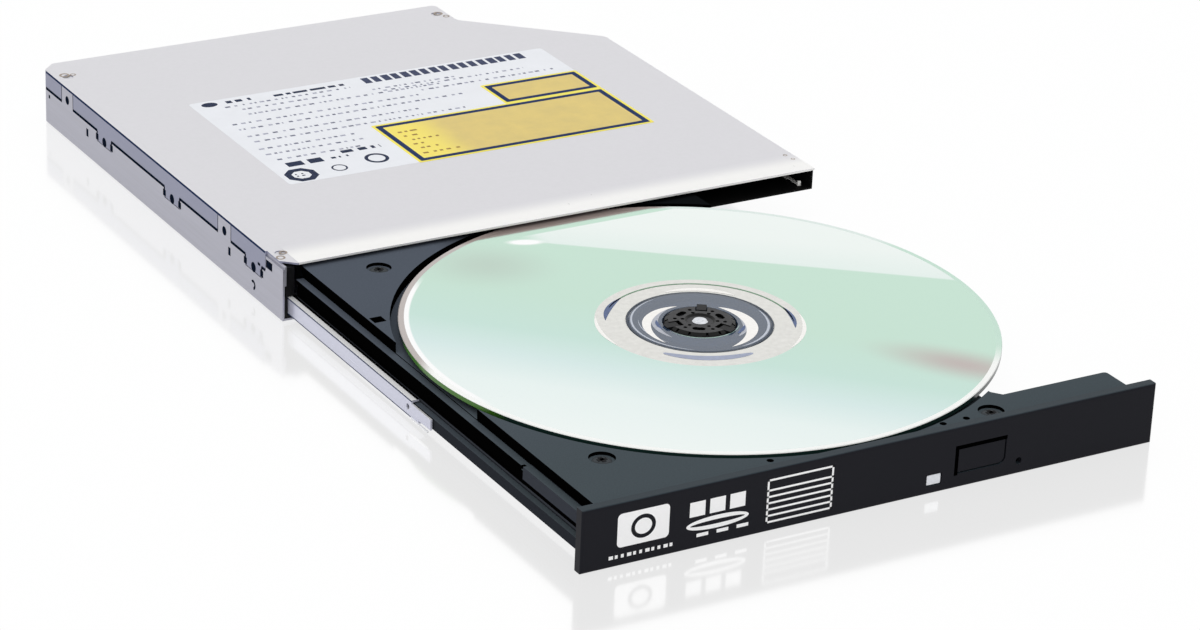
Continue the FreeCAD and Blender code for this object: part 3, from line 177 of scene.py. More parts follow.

# Top cover
# A flat sheet with a pale satin coat, folded down on three sides and held by snap tabs on the
# left. Its faces that don't look up carry a darker, bluish painted shade. Its front edge is
# drawn down in a narrow hem over the tray's mouth, coloured with a bright painted highlight.
cover_color = (0.70, 0.695, 0.725)
cover_steel = fine_grain("cover_steel", cover_color, 0.42, 900, 0.02, metallic=0.12, bump=0.000004)
# Painted shade: faces that don't look up get a darker, bluish colour.
shade_by_facing(cover_steel, (0.27, 0.28, 0.385))
dress(cover_steel, "top_cover")
cover_low, cover_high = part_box("top_cover")
cover_left = cover_low.x
cover_right = cover_high.x
cover_front = cover_low.y
cover_top = cover_high.z


def piece(name, builder, body, material, even=False):
    """Turn what a builder holds into a piece that rides on a body."""
    if even:
        bmesh.ops.recalc_face_normals(builder, faces=builder.faces)
    mesh = bpy.data.meshes.new(name)
    builder.to_mesh(mesh)
    builder.free()
    thing = add_object(name, mesh)
    mesh.materials.append(material)
    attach(thing, body)
    return thing


def object_axis(tree, axis):
    """The place along one axis of the object."""
    place = add_node(tree, "TexCoord", {}).outputs["Object"]
    return add_node(tree, "SeparateXYZ", {"Vector": place}).outputs[axis]


def fade(material, axis, start, stop, near=None, far=None):
    """Run from one colour to another along an axis; one that isn't given is the material's own."""
    own = color_of(material)
    share = map_range(object_axis(material.node_tree, axis), start, stop, smooth=True)
    set_color(material, mix_colors(share, near or own, far or own))


hem_width = 0.0092
hem_drop = 0.0004
hem_start = 0.0036
hem_proud = 0.00001
# The hem's colour is a bright painted highlight that fades back into the cover's colour away from the front
# edge.
hem_highlight = fine_grain("hem_highlight", (0.93, 0.925, 0.91), 0.3, 700, 0.015, metallic=0.1, bump=0.000003)
fade(hem_highlight, "Y", cover_front + 0.003, cover_front + hem_width, far=cover_color)
hem_line = ((-hem_proud, -hem_drop), (-hem_proud, -0.00003), (0.0002, 0.00002), (hem_width * 0.8, 0.00003),
            (hem_width, 0.000005))
hem = bmesh.new()
hem_rows = []
for inward, up in hem_line:
    ends = (cover_left + hem_start, cover_right + hem_proud)
    hem_rows.append([hem.verts.new((x, cover_front + inward, cover_top + up)) for x in ends])
for near, far in zip(hem_rows, hem_rows[1:]):
    hem.faces.new((near[0], near[1], far[1], far[0]))
piece("cover_hem", hem, "case", hem_highlight)

# Label on the cover
# A pale printed film stuck on the cover, with two plain yellow panels in dark frames, a row of
# bars and rows of short rules. Nothing on it can be read.
label_left = cover_left + 0.0203
label_rear = cover_front + 0.0902
film_thick = 0.00002
ink_thick = 0.000012
ink_base = cover_top + film_thick


def rectangle(x0, x1, y0, y1):
    """The corners of a rectangle."""
    return [(x0, y0), (x1, y0), (x1, y1), (x0, y1)]


def rounded_outline(x0, x1, y0, y1, radius, steps=6):
    """The corners of a rectangle with rounded corners, anticlockwise."""
    points = []
    for x, y, start in ((x1, y0, -90), (x1, y1, 0), (x0, y1, 90), (x0, y0, 180)):
        cx = x - math.copysign(radius, x - (x0 + x1) / 2)
        cy = y - math.copysign(radius, y - (y0 + y1) / 2)
        for i in range(steps + 1):
            angle = math.radians(start + 90 * i / steps)
            points.append((cx + radius * math.cos(angle), cy + radius * math.sin(angle)))
    return points


def circle(cx, cy, radius, steps, tall=1.0, turn=0.0):
    """Points round a circle, or round an oval whose height is a share of its width."""
    angles = [2 * math.pi * (i + turn) / steps for i in range(steps)]
    return [(cx + radius * math.cos(angle), cy + radius * tall * math.sin(angle)) for angle in angles]


def join_rows(builder, rows):
    """Add the faces between closed rows with as many points each."""
    for row, after in zip(rows, rows[1:]):
        for i in range(len(row)):
            j = (i + 1) % len(row)
            builder.faces.new((row[i], row[j], after[j], after[i]))


def slabs(name, outlines, z0, z1, body, material):
    """One piece made of thin flat slabs, each with a slightly narrower top."""
    builder = bmesh.new()
    draw_in = (z1 - z0) * 0.5
    for points in outlines:
        cx = sum(x for x, y in points) / len(points)
        cy = sum(y for x, y in points) / len(points)
        low = [builder.verts.new((x, y, z0)) for x, y in points]
        high = []
        for x, y in points:
            away = Vector((x - cx, y - cy)).normalized() * draw_in
            high.append(builder.verts.new((x - away.x, y - away.y, z1)))
        builder.faces.new(low[::-1])
        builder.faces.new(high)
        join_rows(builder, [low, high])
    piece(name, builder, body, material)


def ring_band(builder, outer, inner, z0, z1):
    """Add a flat band between two outlines with as many points each."""
    rows = []
    for points, z in ((outer, z0), (outer, z1), (inner, z1), (inner, z0)):
        rows.append([builder.verts.new((x, y, z)) for x, y in points])
    join_rows(builder, rows + rows[:1])


def rings(name, sizes, z0, z1, material):
    """One piece made of flat rings on the cover, from (right, back, outer, inner, steps, turn)."""
    builder = bmesh.new()
    for right, back, outer, inner, steps, turn in sizes:
        centre = (cover_left + right, cover_front + back)
        ring_band(builder, circle(*centre, outer, steps, turn=turn), circle(*centre, inner, steps, turn=turn),
                  z0, z1)
    piece(name, builder, "case", material)


def printed(name, outlines, material, layer=0):
    """Flat marks printed on the label over a number of earlier layers."""
    low = ink_base + layer * ink_thick
    slabs(name, outlines, low, low + ink_thick, "case", material)


label_film = fine_grain("label_film", (0.83, 0.85, 0.895), 0.35, 160, 0.03, bump=0.000002)
label_outline = rounded_outline(label_left, cover_left + 0.1101, cover_front + 0.0385, label_rear, 0.0008)
slabs("label_sheet", [label_outline], cover_top, ink_base, "case", label_film)

panel_yellow = fine_grain("panel_yellow", (0.71, 0.54, 0.14), 0.38, 260, 0.07, bump=0.000002)
rim_yellow = fine_grain("panel_rim_yellow", (0.93, 0.8, 0.06), 0.38, 260, 0.03, bump=0.000002)
frame_blue = fine_grain("frame_blue", (0.035, 0.055, 0.14), 0.5, 900, 0.15, specular=0.0, bump=0.000002)
fade(panel_yellow, "X", cover_left + 0.058, cover_left + 0.068, near=(0.93, 0.77, 0.1))
panel_edge = 0.0007
frame_line = 0.0013
for panel, x0, x1, y0, y1 in (("large_panel", 0.0513, 0.1102, 0.0382, 0.0618),
                              ("small_panel", 0.0853, 0.1102, 0.0618, 0.0741)):
    outlines = []
    for inset, radius in ((0.0, 0.0004), (panel_edge, 0.0003), (panel_edge + frame_line, 0.0002)):
        outlines.append(rounded_outline(cover_left + x0 + inset, cover_left + x1 - inset,
                                        cover_front + y0 + inset, cover_front + y1 - inset, radius))
    printed(panel + "_rim", outlines[:1], rim_yellow)
    printed(panel, outlines[2:], panel_yellow, 1)
    band = bmesh.new()
    ring_band(band, outlines[1], outlines[2], ink_base + 0.9 * ink_thick, ink_base + 2.2 * ink_thick)
    piece(panel + "_frame", band, "case", frame_blue)


def ink(name, color, vary):
    """A matt printing ink."""
    return fine_grain(name, color, 0.5, 1500, vary, specular=0.0, bump=0.000001)


shuffle = random.Random(7)
bar_count = 17
bar_start = 0.0625
bar_pitch = (0.1045 - bar_start) / bar_count
bars = []
for i in range(bar_count):
    bar_left = cover_left + bar_start + i * bar_pitch
    bar_right = bar_left + bar_pitch * shuffle.uniform(0.66, 0.8)
    bars.append(rectangle(bar_left, bar_right, label_rear - 0.0044, label_rear - 0.001))
printed("label_bars", bars, ink("ink_bars", (0.078, 0.09, 0.15), 0.3))


def dash_row(start, stop, place, height, word):
    """A row of short rules of uneven length between two distances from the cover's left edge."""
    row = []
    low = cover_front + place
    x = cover_left + start
    while x < cover_left + stop:
        end = min(x + shuffle.uniform(0.25, 1.0) * word, cover_left + stop)
        row.append(rectangle(x, end, low, low + height))
        x = end + shuffle.uniform(0.0005, 0.0014)
    return row


fine_spans = (
    (0.027, 0.058, 0.0848), (0.030, 0.052, 0.0822), (0.030, 0.078, 0.0790), (0.062, 0.083, 0.0815),
    (0.024, 0.070, 0.0745), (0.024, 0.080, 0.0712), (0.024, 0.066, 0.0668), (0.024, 0.076, 0.0634),
    (0.023, 0.046, 0.0590), (0.023, 0.047, 0.0556), (0.024, 0.044, 0.0520), (0.064, 0.100, 0.0800),
    (0.072, 0.106, 0.0768),
)
fine_rows = []
for start, stop, place in fine_spans:
    fine_rows += dash_row(start, stop, place, 0.0007, 0.0013)
printed("label_fine_rules", fine_rows[::2], ink("ink_soft", (0.2, 0.21, 0.28), 0.4))
printed("label_pale_rules", fine_rows[1::2], ink("ink_pale", (0.42, 0.43, 0.52), 0.3))
bold_spans = (
    (0.0285, 0.0345, 0.0872, 0.0014, 0.003), (0.0400, 0.0575, 0.0868, 0.0011, 0.004),
    (0.0245, 0.0330, 0.0475, 0.0024, 0.004), (0.0385, 0.0480, 0.0500, 0.0015, 0.003),
    (0.0350, 0.0400, 0.0480, 0.0009, 0.0015), (0.0237, 0.0263, 0.0418, 0.0005, 0.0009),
    (0.0237, 0.0263, 0.0428, 0.0005, 0.0009),
)
bold_rows = []
for span in bold_spans:
    bold_rows += dash_row(*span)
oval = circle(label_left + 0.0042, label_rear - 0.0022, 0.0019, 32, tall=13 / 19)
ink_dark = ink("ink_dark", (0.045, 0.055, 0.095), 0.4)
printed("label_bold_rules", bold_rows + [oval], ink_dark)
label_rings = ((0.0250, 0.0425, 0.0038, 0.0022, 8, 0.5), (0.0440, 0.0445, 0.0027, 0.0019, 40, 0.5),
               (0.0342, 0.0428, 0.0018, 0.0014, 40, 0.5))
rings("label_rings", label_rings, ink_base, ink_base + ink_thick, ink_dark)
panel_spans = ((0.0550, 0.0600, 0.0555), (0.0552, 0.0585, 0.0530), (0.0560, 0.0625, 0.0505),
               (0.0550, 0.0575, 0.0480), (0.0555, 0.0605, 0.0455), (0.0545, 0.0635, 0.0425))
panel_rows = []
for start, stop, place in panel_spans:
    panel_rows += dash_row(start, stop, place, 0.0007, 0.0018)
printed("panel_rules", panel_rows, ink("ink_brown", (0.36, 0.23, 0.09), 0.3), 2)

# Seams and punched marks on the left wall
# The cover's flange meets the wall in a narrow joint, and dark strips in it and at the edges of
# the tabs and pads are painted shadow. A fine dark line follows the fold at the top. The small
# punched slots below the joint, the round holes and a hook mark are dark patches of painted shade.
painted_shade_dark = fine_grain("painted_shade_dark", (0.005, 0.009, 0.02), 0.7, 1500, 0.3, specular=0.0)
fold_blue = fine_grain("fold_blue", (0.02, 0.034, 0.09), 0.6, 1500, 0.2, specular=0.0)
flange_ends = ((0.0083, 0.0100), (0.0176, 0.0246), (0.0312, 0.0503), (0.0579, 0.0862), (0.0938, 0.1073),
               (0.1139, 0.1228))
tab_middles = (0.0138, 0.0541, 0.0900)
tab_half = 0.0039
pad_middles = (0.0279, 0.1106)
pad_half = 0.0032
strip_proud = 0.000012
strip_deep = 0.00038
shadow_low = 0.00806
shadow_high = 0.00872
mark_proud = 0.00001
mark_deep = 0.00005


def blocks(name, sizes, body, material):
    """One piece made of small blocks, each from its ends along X, Y and Z."""
    builder = bmesh.new()
    sides = ((0, 2, 3, 1), (4, 5, 7, 6), (0, 1, 5, 4), (1, 3, 7, 5), (3, 2, 6, 7), (2, 0, 4, 6))
    for x0, x1, y0, y1, z0, z1 in sizes:
        corners = [builder.verts.new((x, y, z)) for z in (z0, z1) for y in (y0, y1) for x in (x0, x1)]
        for side in sides:
            builder.faces.new([corners[corner] for corner in side])
    return piece(name, builder, body, material)


def on_wall(start, stop, z0, z1, proud=strip_proud, deep=strip_deep):
    """The ends of a block set in the left wall, between two distances from the cover's front."""
    return (cover_left - proud, cover_left + deep, cover_front + start, cover_front + stop, z0, z1)


# Painted shadow: dark strips in the joint and at the edges of the tabs and pads.
shadow_strips = [on_wall(start, stop, shadow_low, shadow_high) for start, stop in flange_ends]
for middle in tab_middles:
    for edge in (middle - tab_half, middle + tab_half):
        shadow_strips.append(on_wall(edge - 0.0003, edge + 0.0003, 0.0074, 0.0084))
        shadow_strips.append(on_wall(edge - 0.0007, edge + 0.0007, 0.0062, 0.0077))
for middle in pad_middles:
    for edge in (middle - pad_half, middle + pad_half):
        shadow_strips.append(on_wall(edge - 0.00012, edge + 0.00012, shadow_low, 0.0121))
blocks("joint_shadow_strips", shadow_strips, "case", painted_shade_dark)
fold_ends = (cover_front + 0.0084, cover_high.y - 0.0036)
fold = (cover_left - strip_proud, cover_left + 0.0001, *fold_ends, 0.01205, 0.01256)
blocks("fold_line", [fold], "case", fold_blue)
# The punched slots are dark patches of painted shade.
slot_deep = 0.0001
punched = []
for start, stop, low, high in ((0.09885, 0.09995, 0.0050, 0.0068), (0.02485, 0.02595, 0.0050, 0.0068),
                               (0.12050, 0.12130, 0.0065, 0.0073), (0.01060, 0.01180, 0.0083, 0.0089)):
    punched.append(on_wall(start, stop, low, high, mark_proud, slot_deep))
punched.append(on_wall(0.0052, 0.0078, 0.0093, 0.0109, mark_proud, mark_deep))
blocks("punched_slots", punched, "case", painted_shade_dark)

# Dark round patches of painted shade where the holes are, and a dark hook mark.
round_marks = bmesh.new()
mark_steps = 24
for middle, height, radius in ((0.0138, 0.0069, 0.0011), (0.0541, 0.0069, 0.0011), (0.0900, 0.0069, 0.0011),
                               (0.0279, 0.0096, 0.0010), (0.1106, 0.0096, 0.0010)):
    ring = circle(cover_front + middle, height, radius, mark_steps)
    near = [round_marks.verts.new((cover_left - mark_proud, y, z)) for y, z in ring]
    far = [round_marks.verts.new((cover_left + mark_deep, y, z)) for y, z in ring]
    round_marks.faces.new(near[::-1])
    join_rows(round_marks, [near, far])
hook_middle = (cover_front + 0.0139, 0.0029)
hook_steps = 10
hook_start = -80
hook_turn = 22
for i in range(hook_steps):
    quad = []
    for step, radius in ((i, 0.0011), (i + 1, 0.0011), (i + 1, 0.0005), (i, 0.0005)):
        angle = math.radians(hook_start + hook_turn * step)
        quad.append(round_marks.verts.new((cover_left - mark_proud, hook_middle[0] - radius * math.cos(angle),
                                           hook_middle[1] + radius * math.sin(angle))))
    round_marks.faces.new(quad)
piece("wall_round_marks", round_marks, "case", painted_shade_dark, even=True)

# Corner dimples of the cover
# Small dimples are pressed near each corner of the sheet, and brown rings round them are their painted shade.
dimple_shade_brown = fine_grain("dimple_shade_brown", (0.33, 0.27, 0.22), 0.45, 4000, 0.5, metallic=0.3)
dimple_spots = ((0.0026, 0.1182, 0.0012), (0.0045, 0.1178, 0.0007), (0.0014, 0.0040, 0.0010),
              (0.0030, 0.0062, 0.0009), (0.0993, 0.1208, 0.0011), (0.1002, 0.1184, 0.0008),
              (0.1262, 0.0092, 0.0005), (0.1266, 0.0066, 0.0005))
dimple_ring_sizes = [(right, back, outer, outer * 0.6, 32, 0.0) for right, back, outer in dimple_spots]
rings("dimple_shade_rings", dimple_ring_sizes, cover_top - 0.00001, cover_top + 0.00003, dimple_shade_brown)

# Painted shade in the wing
# A black film over the inside of the shallow wing, behind its open front, paints the shade there.
wing_shade_black = fine_grain("wing_shade_black", (0.004, 0.004, 0.004), 0.7, 1500, 0.3, specular=0.05)
wing_left = cover_left + 0.1012
wing_right = cover_right - 0.00085
wing_rear = cover_front + 0.088
wing_front = cover_front + 0.00002
wing_lip = cover_front - 0.00004
lip_end = cover_right - 0.0004
wing_floor = 0.0083
wing_roof = 0.0122
lining_thick = 0.00005
blocks("wing_shade_lining", [
    (wing_left, wing_right, wing_front, cover_front + 0.0125, wing_floor, wing_floor + lining_thick),
    (wing_left, wing_right, cover_front + 0.0078, wing_rear, wing_floor, wing_floor + lining_thick),
    (wing_right - lining_thick, wing_right, wing_front, wing_rear, wing_floor, wing_roof),
    (wing_left, wing_right, wing_front, wing_rear, wing_roof - lining_thick, wing_roof),
    (cover_left + 0.1009, lip_end, wing_lip, wing_front, 0.0079, 0.00831),
    (cover_right - 0.00086, lip_end, wing_lip, wing_front, wing_floor, wing_roof),
], "case", wing_shade_black)

# Rear connector and main board
# A green board screwed to bosses in the tub, with moulded chips and a two-part connector whose
# flat contacts lie on tongues.
board_green = fine_grain("board_green", (0.02, 0.13, 0.06), 0.3, 1200, 0.35)
chip_black = fine_grain("chip_black", (0.02, 0.02, 0.022), 0.5, 3000, 0.2, specular=0.25)
plug_black = fine_grain("plug_black", (0.013, 0.013, 0.015), 0.45, 2500, 0.2, specular=0.2)
contact_gold = fine_grain("contact_gold", (0.83, 0.6, 0.22), 0.25, 3000, 0.08, metallic=1.0)
screw_steel = fine_grain("screw_steel", (0.5, 0.5, 0.52), 0.32, 4000, 0.1, metallic=0.9)
dress(board_green, "main_board", "button_board")
dress(chip_black, "board_chips", "button_switch")
dress(plug_black, "rear_connector", "flex_socket", "switch_plunger", "screw_bracket", "lens_holder")
dress(contact_gold, "connector_contacts")
dress(screw_steel, "board_screws", "cover_screws", "latch_post", "mount_screws", "bottom_cover_screws")

# Earthing spring
# A bent strip of spring steel on the wing's floor, which touches the bezel's shield when the
# tray is shut.
spring_steel = fine_grain("spring_steel", (0.97, 0.96, 0.93), 0.35, 2500, 0.03, metallic=0.1)
strip_left = cover_left + 0.1248
strip_front = cover_front + 0.0014
earthing_strip = blocks("earthing_strip", [
    (strip_left, strip_left + 0.0006, strip_front + 0.0002, strip_front + 0.0058, 0.00862, 0.00892),
    (strip_left, strip_left + 0.00075, strip_front, strip_front + 0.00035, 0.00845, 0.00955),
    (strip_left, strip_left + 0.0012, strip_front + 0.0045, strip_front + 0.0060, 0.0083, 0.0087),
], "case", spring_steel)
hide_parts("ground_spring")

# Rails and their guides
# Bright pressed channels run in black acetal guides and carry the ribs of the tray. Their up-facing
# faces, the outer strip of each top lip and the left foot carry painted highlights, and their other
# faces a darker bluish painted shade. A black strip inside each lip and thin blue lines along the
# face's edges are painted shade.
rail_steel = fine_grain("rail_steel", (0.95, 0.95, 0.97), 0.25, 1800, 0.04, metallic=0.3, along=(1, 0.02, 1))
# Painted shade: faces that don't look up get a darker bluish colour.
shade_by_facing(rail_steel, (0.63, 0.64, 0.76))
lip_highlight = fine_grain("lip_highlight", (0.98, 0.99, 1.0), 0.3, 1800, 0.02, along=(1, 0.02, 1))
edge_shade_blue = fine_grain("edge_shade_blue", (0.03, 0.045, 0.1), 0.45, 1800, 0.2, specular=0.1)
lip_shade_black = fine_grain("lip_shade_black", (0.002, 0.002, 0.002), 0.8, 1800, 0.3, specular=0.0)
guide_black = fine_grain("guide_black", (0.008, 0.008, 0.009), 0.4, 1500, 0.25, specular=0.12)
dress(rail_steel, "left_rail", "right_rail")
dress(guide_black, "left_rail_guide", "right_rail_guide", "latch_lever", "eject_plunger", "flex_clamp",
      "screw_follower")
lip_width = 0.00115
foot_length = 0.0079
for rail, outward in (("left_rail", -1), ("right_rail", 1)):
    body = rail + "_slider"
    low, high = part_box(rail)
    tip = low.y + foot_length
    outer, inner = (low.x, high.x) if outward < 0 else (high.x, low.x)
    lip_edge = outer - outward * lip_width
    face = outer + outward * 0.00001
    lip_span = sorted((outer, lip_edge))
    liner_span = sorted((lip_edge, inner))
    line_span = sorted((face, face - outward * 0.0001))
    # A bright painted highlight on the outer strip of each top lip, and black painted shade on its inner
    # strip.
    blocks(rail + "_lip", [(*lip_span, tip, high.y, high.z - 0.00001, high.z + 0.00002)], body, lip_highlight)
    blocks(rail + "_lip_shade", [(*liner_span, tip, high.y, high.z - 0.00001, high.z + 0.00003)], body,
           lip_shade_black)
    # A bright painted highlight on the left rail's foot.
    if outward < 0:
        blocks("left_rail_foot", [(outer - 0.0004, outer, low.y + 0.0006, tip, low.z, low.z + 0.00025)],
               body, lip_highlight)
    # Thin blue lines of painted shade along the top and bottom edges of the face.
    blocks(rail + "_line", [
        (*line_span, tip, high.y, high.z - 0.00032, high.z - 0.00002),
        (*line_span, tip, high.y, low.z + 0.00002, low.z + 0.00024),
    ], body, edge_shade_blue)

# Tray
# One moulding in dark grey glass-filled plastic, with a fine spark texture on its deck. The deck is
# painted lighter and bluer towards the rear, and its rear right corner, under the cover's edge, is
# painted in shadow. Faces that don't look up take painted light and shade in bands by height: near
# black up the recess wall and in the rail slot, dark grey on the skirt, with thin painted highlights.
tray_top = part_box("tray")[1].z
tray_plastic = fine_grain("tray_plastic", (0.068, 0.085, 0.096), 0.5, 3500, 0.12, specular=0.0, bump=0.00002)
tray_tree = tray_plastic.node_tree
tray_x = object_axis(tray_tree, "X")
tray_y = object_axis(tray_tree, "Y")
tray_z = object_axis(tray_tree, "Z")
side_shade_black = (0.001, 0.001, 0.001)
side_height = 0.0127


def times(first, second):
    """The product of a socket and another socket or number."""
    return add_node(first.id_data, "Math", {0: first, 1: second}, operation="MULTIPLY").outputs["Value"]


def ramp(value, low, high, stops, kind="LINEAR"):
    """Colours along a value, as (place, colour) stops between its two ends."""
    colors = add_node(value.id_data, "ValToRGB", {"Fac": map_range(value, low, high)})
    band = colors.color_ramp
    band.interpolation = kind
    for element, (place, color) in zip(band.elements, (stops[0], stops[-1])):
        element.position = place
        element.color = (*color, 1.0)
    for place, color in stops[1:-1]:
        band.elements.new(place).color = (*color, 1.0)
    return colors.outputs["Color"]


# Painted sheen: the deck grows lighter and bluer towards the rear.
rear_sheen_share = map_range(tray_y, bezel_low.y + 0.02, bezel_low.y + 0.105)
rear_sheen_tint = mix_colors(rear_sheen_share, (1.0, 1.0, 1.0), (1.32, 1.24, 1.38))
sheened_tray = mix_colors(1.0, color_of(tray_plastic), rear_sheen_tint, "MULTIPLY")
# Painted shadow on the deck's rear right corner, under the cover's edge.
corner_shadow = times(map_range(tray_y, bezel_low.y + 0.1085, bezel_low.y + 0.1125),
                    map_range(tray_x, bezel_low.x + 0.034, bezel_low.x + 0.046))
set_color(tray_plastic, mix_colors(corner_shadow, sheened_tray, (0.006, 0.007, 0.008)))
# Painted light and shade in bands by height: a highlight at the bottom edge and above the skirt, black in the
# rail slot and up the recess wall.
side_light_bands = [(0.0, (0.075, 0.08, 0.115)), (0.00165, (0.026, 0.029, 0.036)), (0.0047, (0.055, 0.06, 0.072)),
              (0.0052, side_shade_black), (0.0064, (0.045, 0.05, 0.062)), (0.0091, side_shade_black)]
side_light_stops = [(height / side_height, color) for height, color in side_light_bands]
side_shade_color = ramp(tray_z, 0.0, side_height, side_light_stops, "CONSTANT")
# Painted shade: behind the notch the lower side is black.
notch_y = bezel_low.y + 0.0272
notch_shade = times(map_range(tray_y, notch_y, notch_y + 0.0001), map_range(tray_z, 0.0051, 0.0052))
shade_by_facing(tray_plastic, mix_colors(notch_shade, side_shade_color, side_shade_black))
dress(tray_plastic, "tray")

# Bezel, button and lamp
# A black moulding with ribs behind. The button sits in its own opening, and a milky lamp shows
# at its left. Faces that look up keep a lighter painted highlight and the others a darker painted
# shade, and a black strip of painted shadow lines the top and left of the button's opening.
bezel_black = fine_grain("bezel_black", (0.026, 0.037, 0.046), 0.4, 5000, 0.12, specular=0.08)
# Painted light: up-facing faces keep the lighter colour, the others get a darker shade.
shade_by_facing(bezel_black, (0.0097, 0.01, 0.014))
dress(bezel_black, "bezel", "eject_button")
lamp_clear = fine_grain("lamp_clear", (0.85, 0.87, 0.92), 0.25, 1500)
dress(lamp_clear, "light_pipe", "activity_led")
gap_black = fine_grain("gap_black", (0.0005, 0.0005, 0.0005), 0.8, 2500, 0.3, specular=0.0)
gap_left = bezel_low.x + 0.0812
gap_right = bezel_low.x + 0.0931
gap_face = bezel_low.y - 0.00001
gap_top = 0.0089
blocks("button_shadow_gap", [
    (gap_left, gap_right, gap_face, gap_face + 0.0001, gap_top - 0.0008, gap_top),
    (gap_left, gap_left + 0.0008, gap_face, gap_face + 0.0001, 0.0027, gap_top),
], "tray_drawer", gap_black)

# Printed marks on the bezel
# Three plain white marks: a square with a ring in it, a row of rules over an oval, and a framed
# block of lines. They name nothing.
mark_white = fine_grain("mark_white", (0.99, 0.99, 1.0), 0.35, 2500, 0.02, specular=0.9, bump=0.000001)
mark_depth = 0.000012


def upright_marks(name, outlines, material, front):
    """Flat marks printed on the bezel's face, from outlines in X and Z."""
    builder = bmesh.new()
    for points in outlines:
        near = [builder.verts.new((x, front - mark_depth, z)) for x, z in points]
        far = [builder.verts.new((x, front, z)) for x, z in points]
        builder.faces.new(near)
        builder.faces.new(far[::-1])
        join_rows(builder, [near[::-1], far[::-1]])
    piece(name, builder, "tray_drawer", material)


def upright_ring(cx, cz, rx, rz, width, steps=40):
    """Short quads that make an oval ring."""
    outer = circle(cx, cz, rx, steps, rz / rx)
    inner = circle(cx, cz, rx - width, steps, (rz - width) / (rx - width))
    return [(outer[i - 1], inner[i - 1], inner[i], outer[i]) for i in range(steps)]


square = (bezel_low.x + 0.0074, bezel_low.x + 0.0183, 0.0038, 0.0106)
marks = [rounded_outline(*square, 0.0009)]
marks += upright_ring(bezel_low.x + 0.0287, 0.0047, 0.0067, 0.0013, 0.00085)
rule_pitch = 0.0043
for i in range(3):
    rule_left = bezel_low.x + 0.0226 + i * rule_pitch
    marks.append(rectangle(rule_left, rule_left + 0.0033, 0.0066, 0.0096))
    marks.append(rectangle(rule_left + 0.0017, rule_left + 0.0042, 0.0023, 0.0030))
frame_left = bezel_low.x + 0.0392
frame_right = bezel_low.x + 0.0537
line = 0.0004
for z in (0.0018, 0.0031, 0.0044, 0.0057, 0.0070, 0.0083, 0.0104):
    marks.append(rectangle(frame_left, frame_right, z, z + line))
for x in (frame_left, frame_right - line):
    marks.append(rectangle(x, x + line, 0.0018, 0.0108))
dot_pitch = 0.00128
for i in range(11):
    dot_left = bezel_low.x + 0.0058 + i * dot_pitch
    dot_width = 0.0009 if i % 3 == 0 else 0.0006
    marks.append(rectangle(dot_left, dot_left + dot_width, 0.0017, 0.0024))
upright_marks("bezel_marks", marks, mark_white, bezel_low.y)
square_middle = ((square[0] + square[1]) / 2, (square[2] + square[3]) / 2)
dark_ring = upright_ring(*square_middle, 0.0026, 0.0024, 0.0008)
upright_marks("bezel_mark_ring", dark_ring, bezel_black, bezel_low.y - mark_depth * 0.9)

# Deck screws
# Black cross-head screws at the bottom of shallow counterbores in the deck, and small holes left
# by the moulding's pins. The crossed recesses and the holes are dark patches of painted shade.
deck_screw_black = fine_grain("deck_screw_black", (0.034, 0.04, 0.045), 0.45, 3000, 0.2, specular=0.1)
drive_shade_dark = fine_grain("drive_shade_dark", (0.004, 0.004, 0.005), 0.6, 3000, 0.2, specular=0.1)
head_radius = 0.0019
drive_reach = 0.0010
drive_half = 0.00042
seat = tray_top - 0.0007
head_profile = ((0.0, 0.00032), (0.6, 0.00028), (0.92, 0.00018), (1.0, 0.00008), (1.0, 0.0), (0.0, 0.0))


def lathe_rows(builder, profile, centre, steps, close=True):
    """Rings of points about an upright axis, joined by faces, from a (radius, height) profile."""
    rows = []
    for radius, height in profile:
        points = circle(*centre, radius, steps) if radius > 1e-7 else [centre]
        rows.append([builder.verts.new((x, y, height)) for x, y in points])
    pairs = list(zip(rows, rows[1:]))
    if close:
        pairs.append((rows[-1], rows[0]))
    made = []
    for lower, upper in pairs:
        band = []
        for i in range(steps):
            j = (i + 1) % steps
            if len(lower) == 1:
                corners = (lower[0], upper[j], upper[i])
            elif len(upper) == 1:
                corners = (lower[i], lower[j], upper[0])
            else:
                corners = (lower[i], lower[j], upper[j], upper[i])
            band.append(builder.faces.new(corners))
        made.append(band)
    return made


def smooth_by_angle(thing, angle):
    """Shade smoothly, but keep edges sharper than that angle."""
    for face in thing.data.polygons:
        face.use_smooth = True
    thing.data.set_sharp_from_angle(angle=math.radians(angle))


def cross(x, y, reach, half, z0, z1):
    """The two blocks of an upright cross."""
    return [(x - a, x + a, y - b, y + b, z0, z1) for a, b in ((reach, half), (half, reach))]


# Each screw's crossed recess is a dark block of painted shade.
for number, right, back in ((1, 0.0185, 0.1160), (2, 0.0156, 0.0201), (3, 0.0932, 0.0060)):
    centre = (bezel_low.x + right, bezel_low.y + back)
    head = bmesh.new()
    rows = [(head_radius * share, seat + up) for share, up in head_profile]
    lathe_rows(head, rows, centre, 40, close=False)
    screw = piece("deck_screw_" + str(number), head, "tray_drawer", deck_screw_black,
                  even=True)
    smooth_by_angle(screw, 35.0)
    blocks("deck_screw_drive_" + str(number), cross(*centre, drive_reach, drive_half, seat, seat + 0.00036),
           "tray_drawer", drive_shade_dark)
# The pin holes are dark discs of painted shade.
pin_spots = ((0.0432, 0.0057), (0.0815, 0.0051), (0.0869, 0.0052))
pin_outlines = [circle(bezel_low.x + right, bezel_low.y + back, 0.0007, 24) for right, back in pin_spots]
slabs("deck_pin_holes", pin_outlines, tray_top - 0.00001, tray_top + 0.00001, "tray_drawer", gap_black)

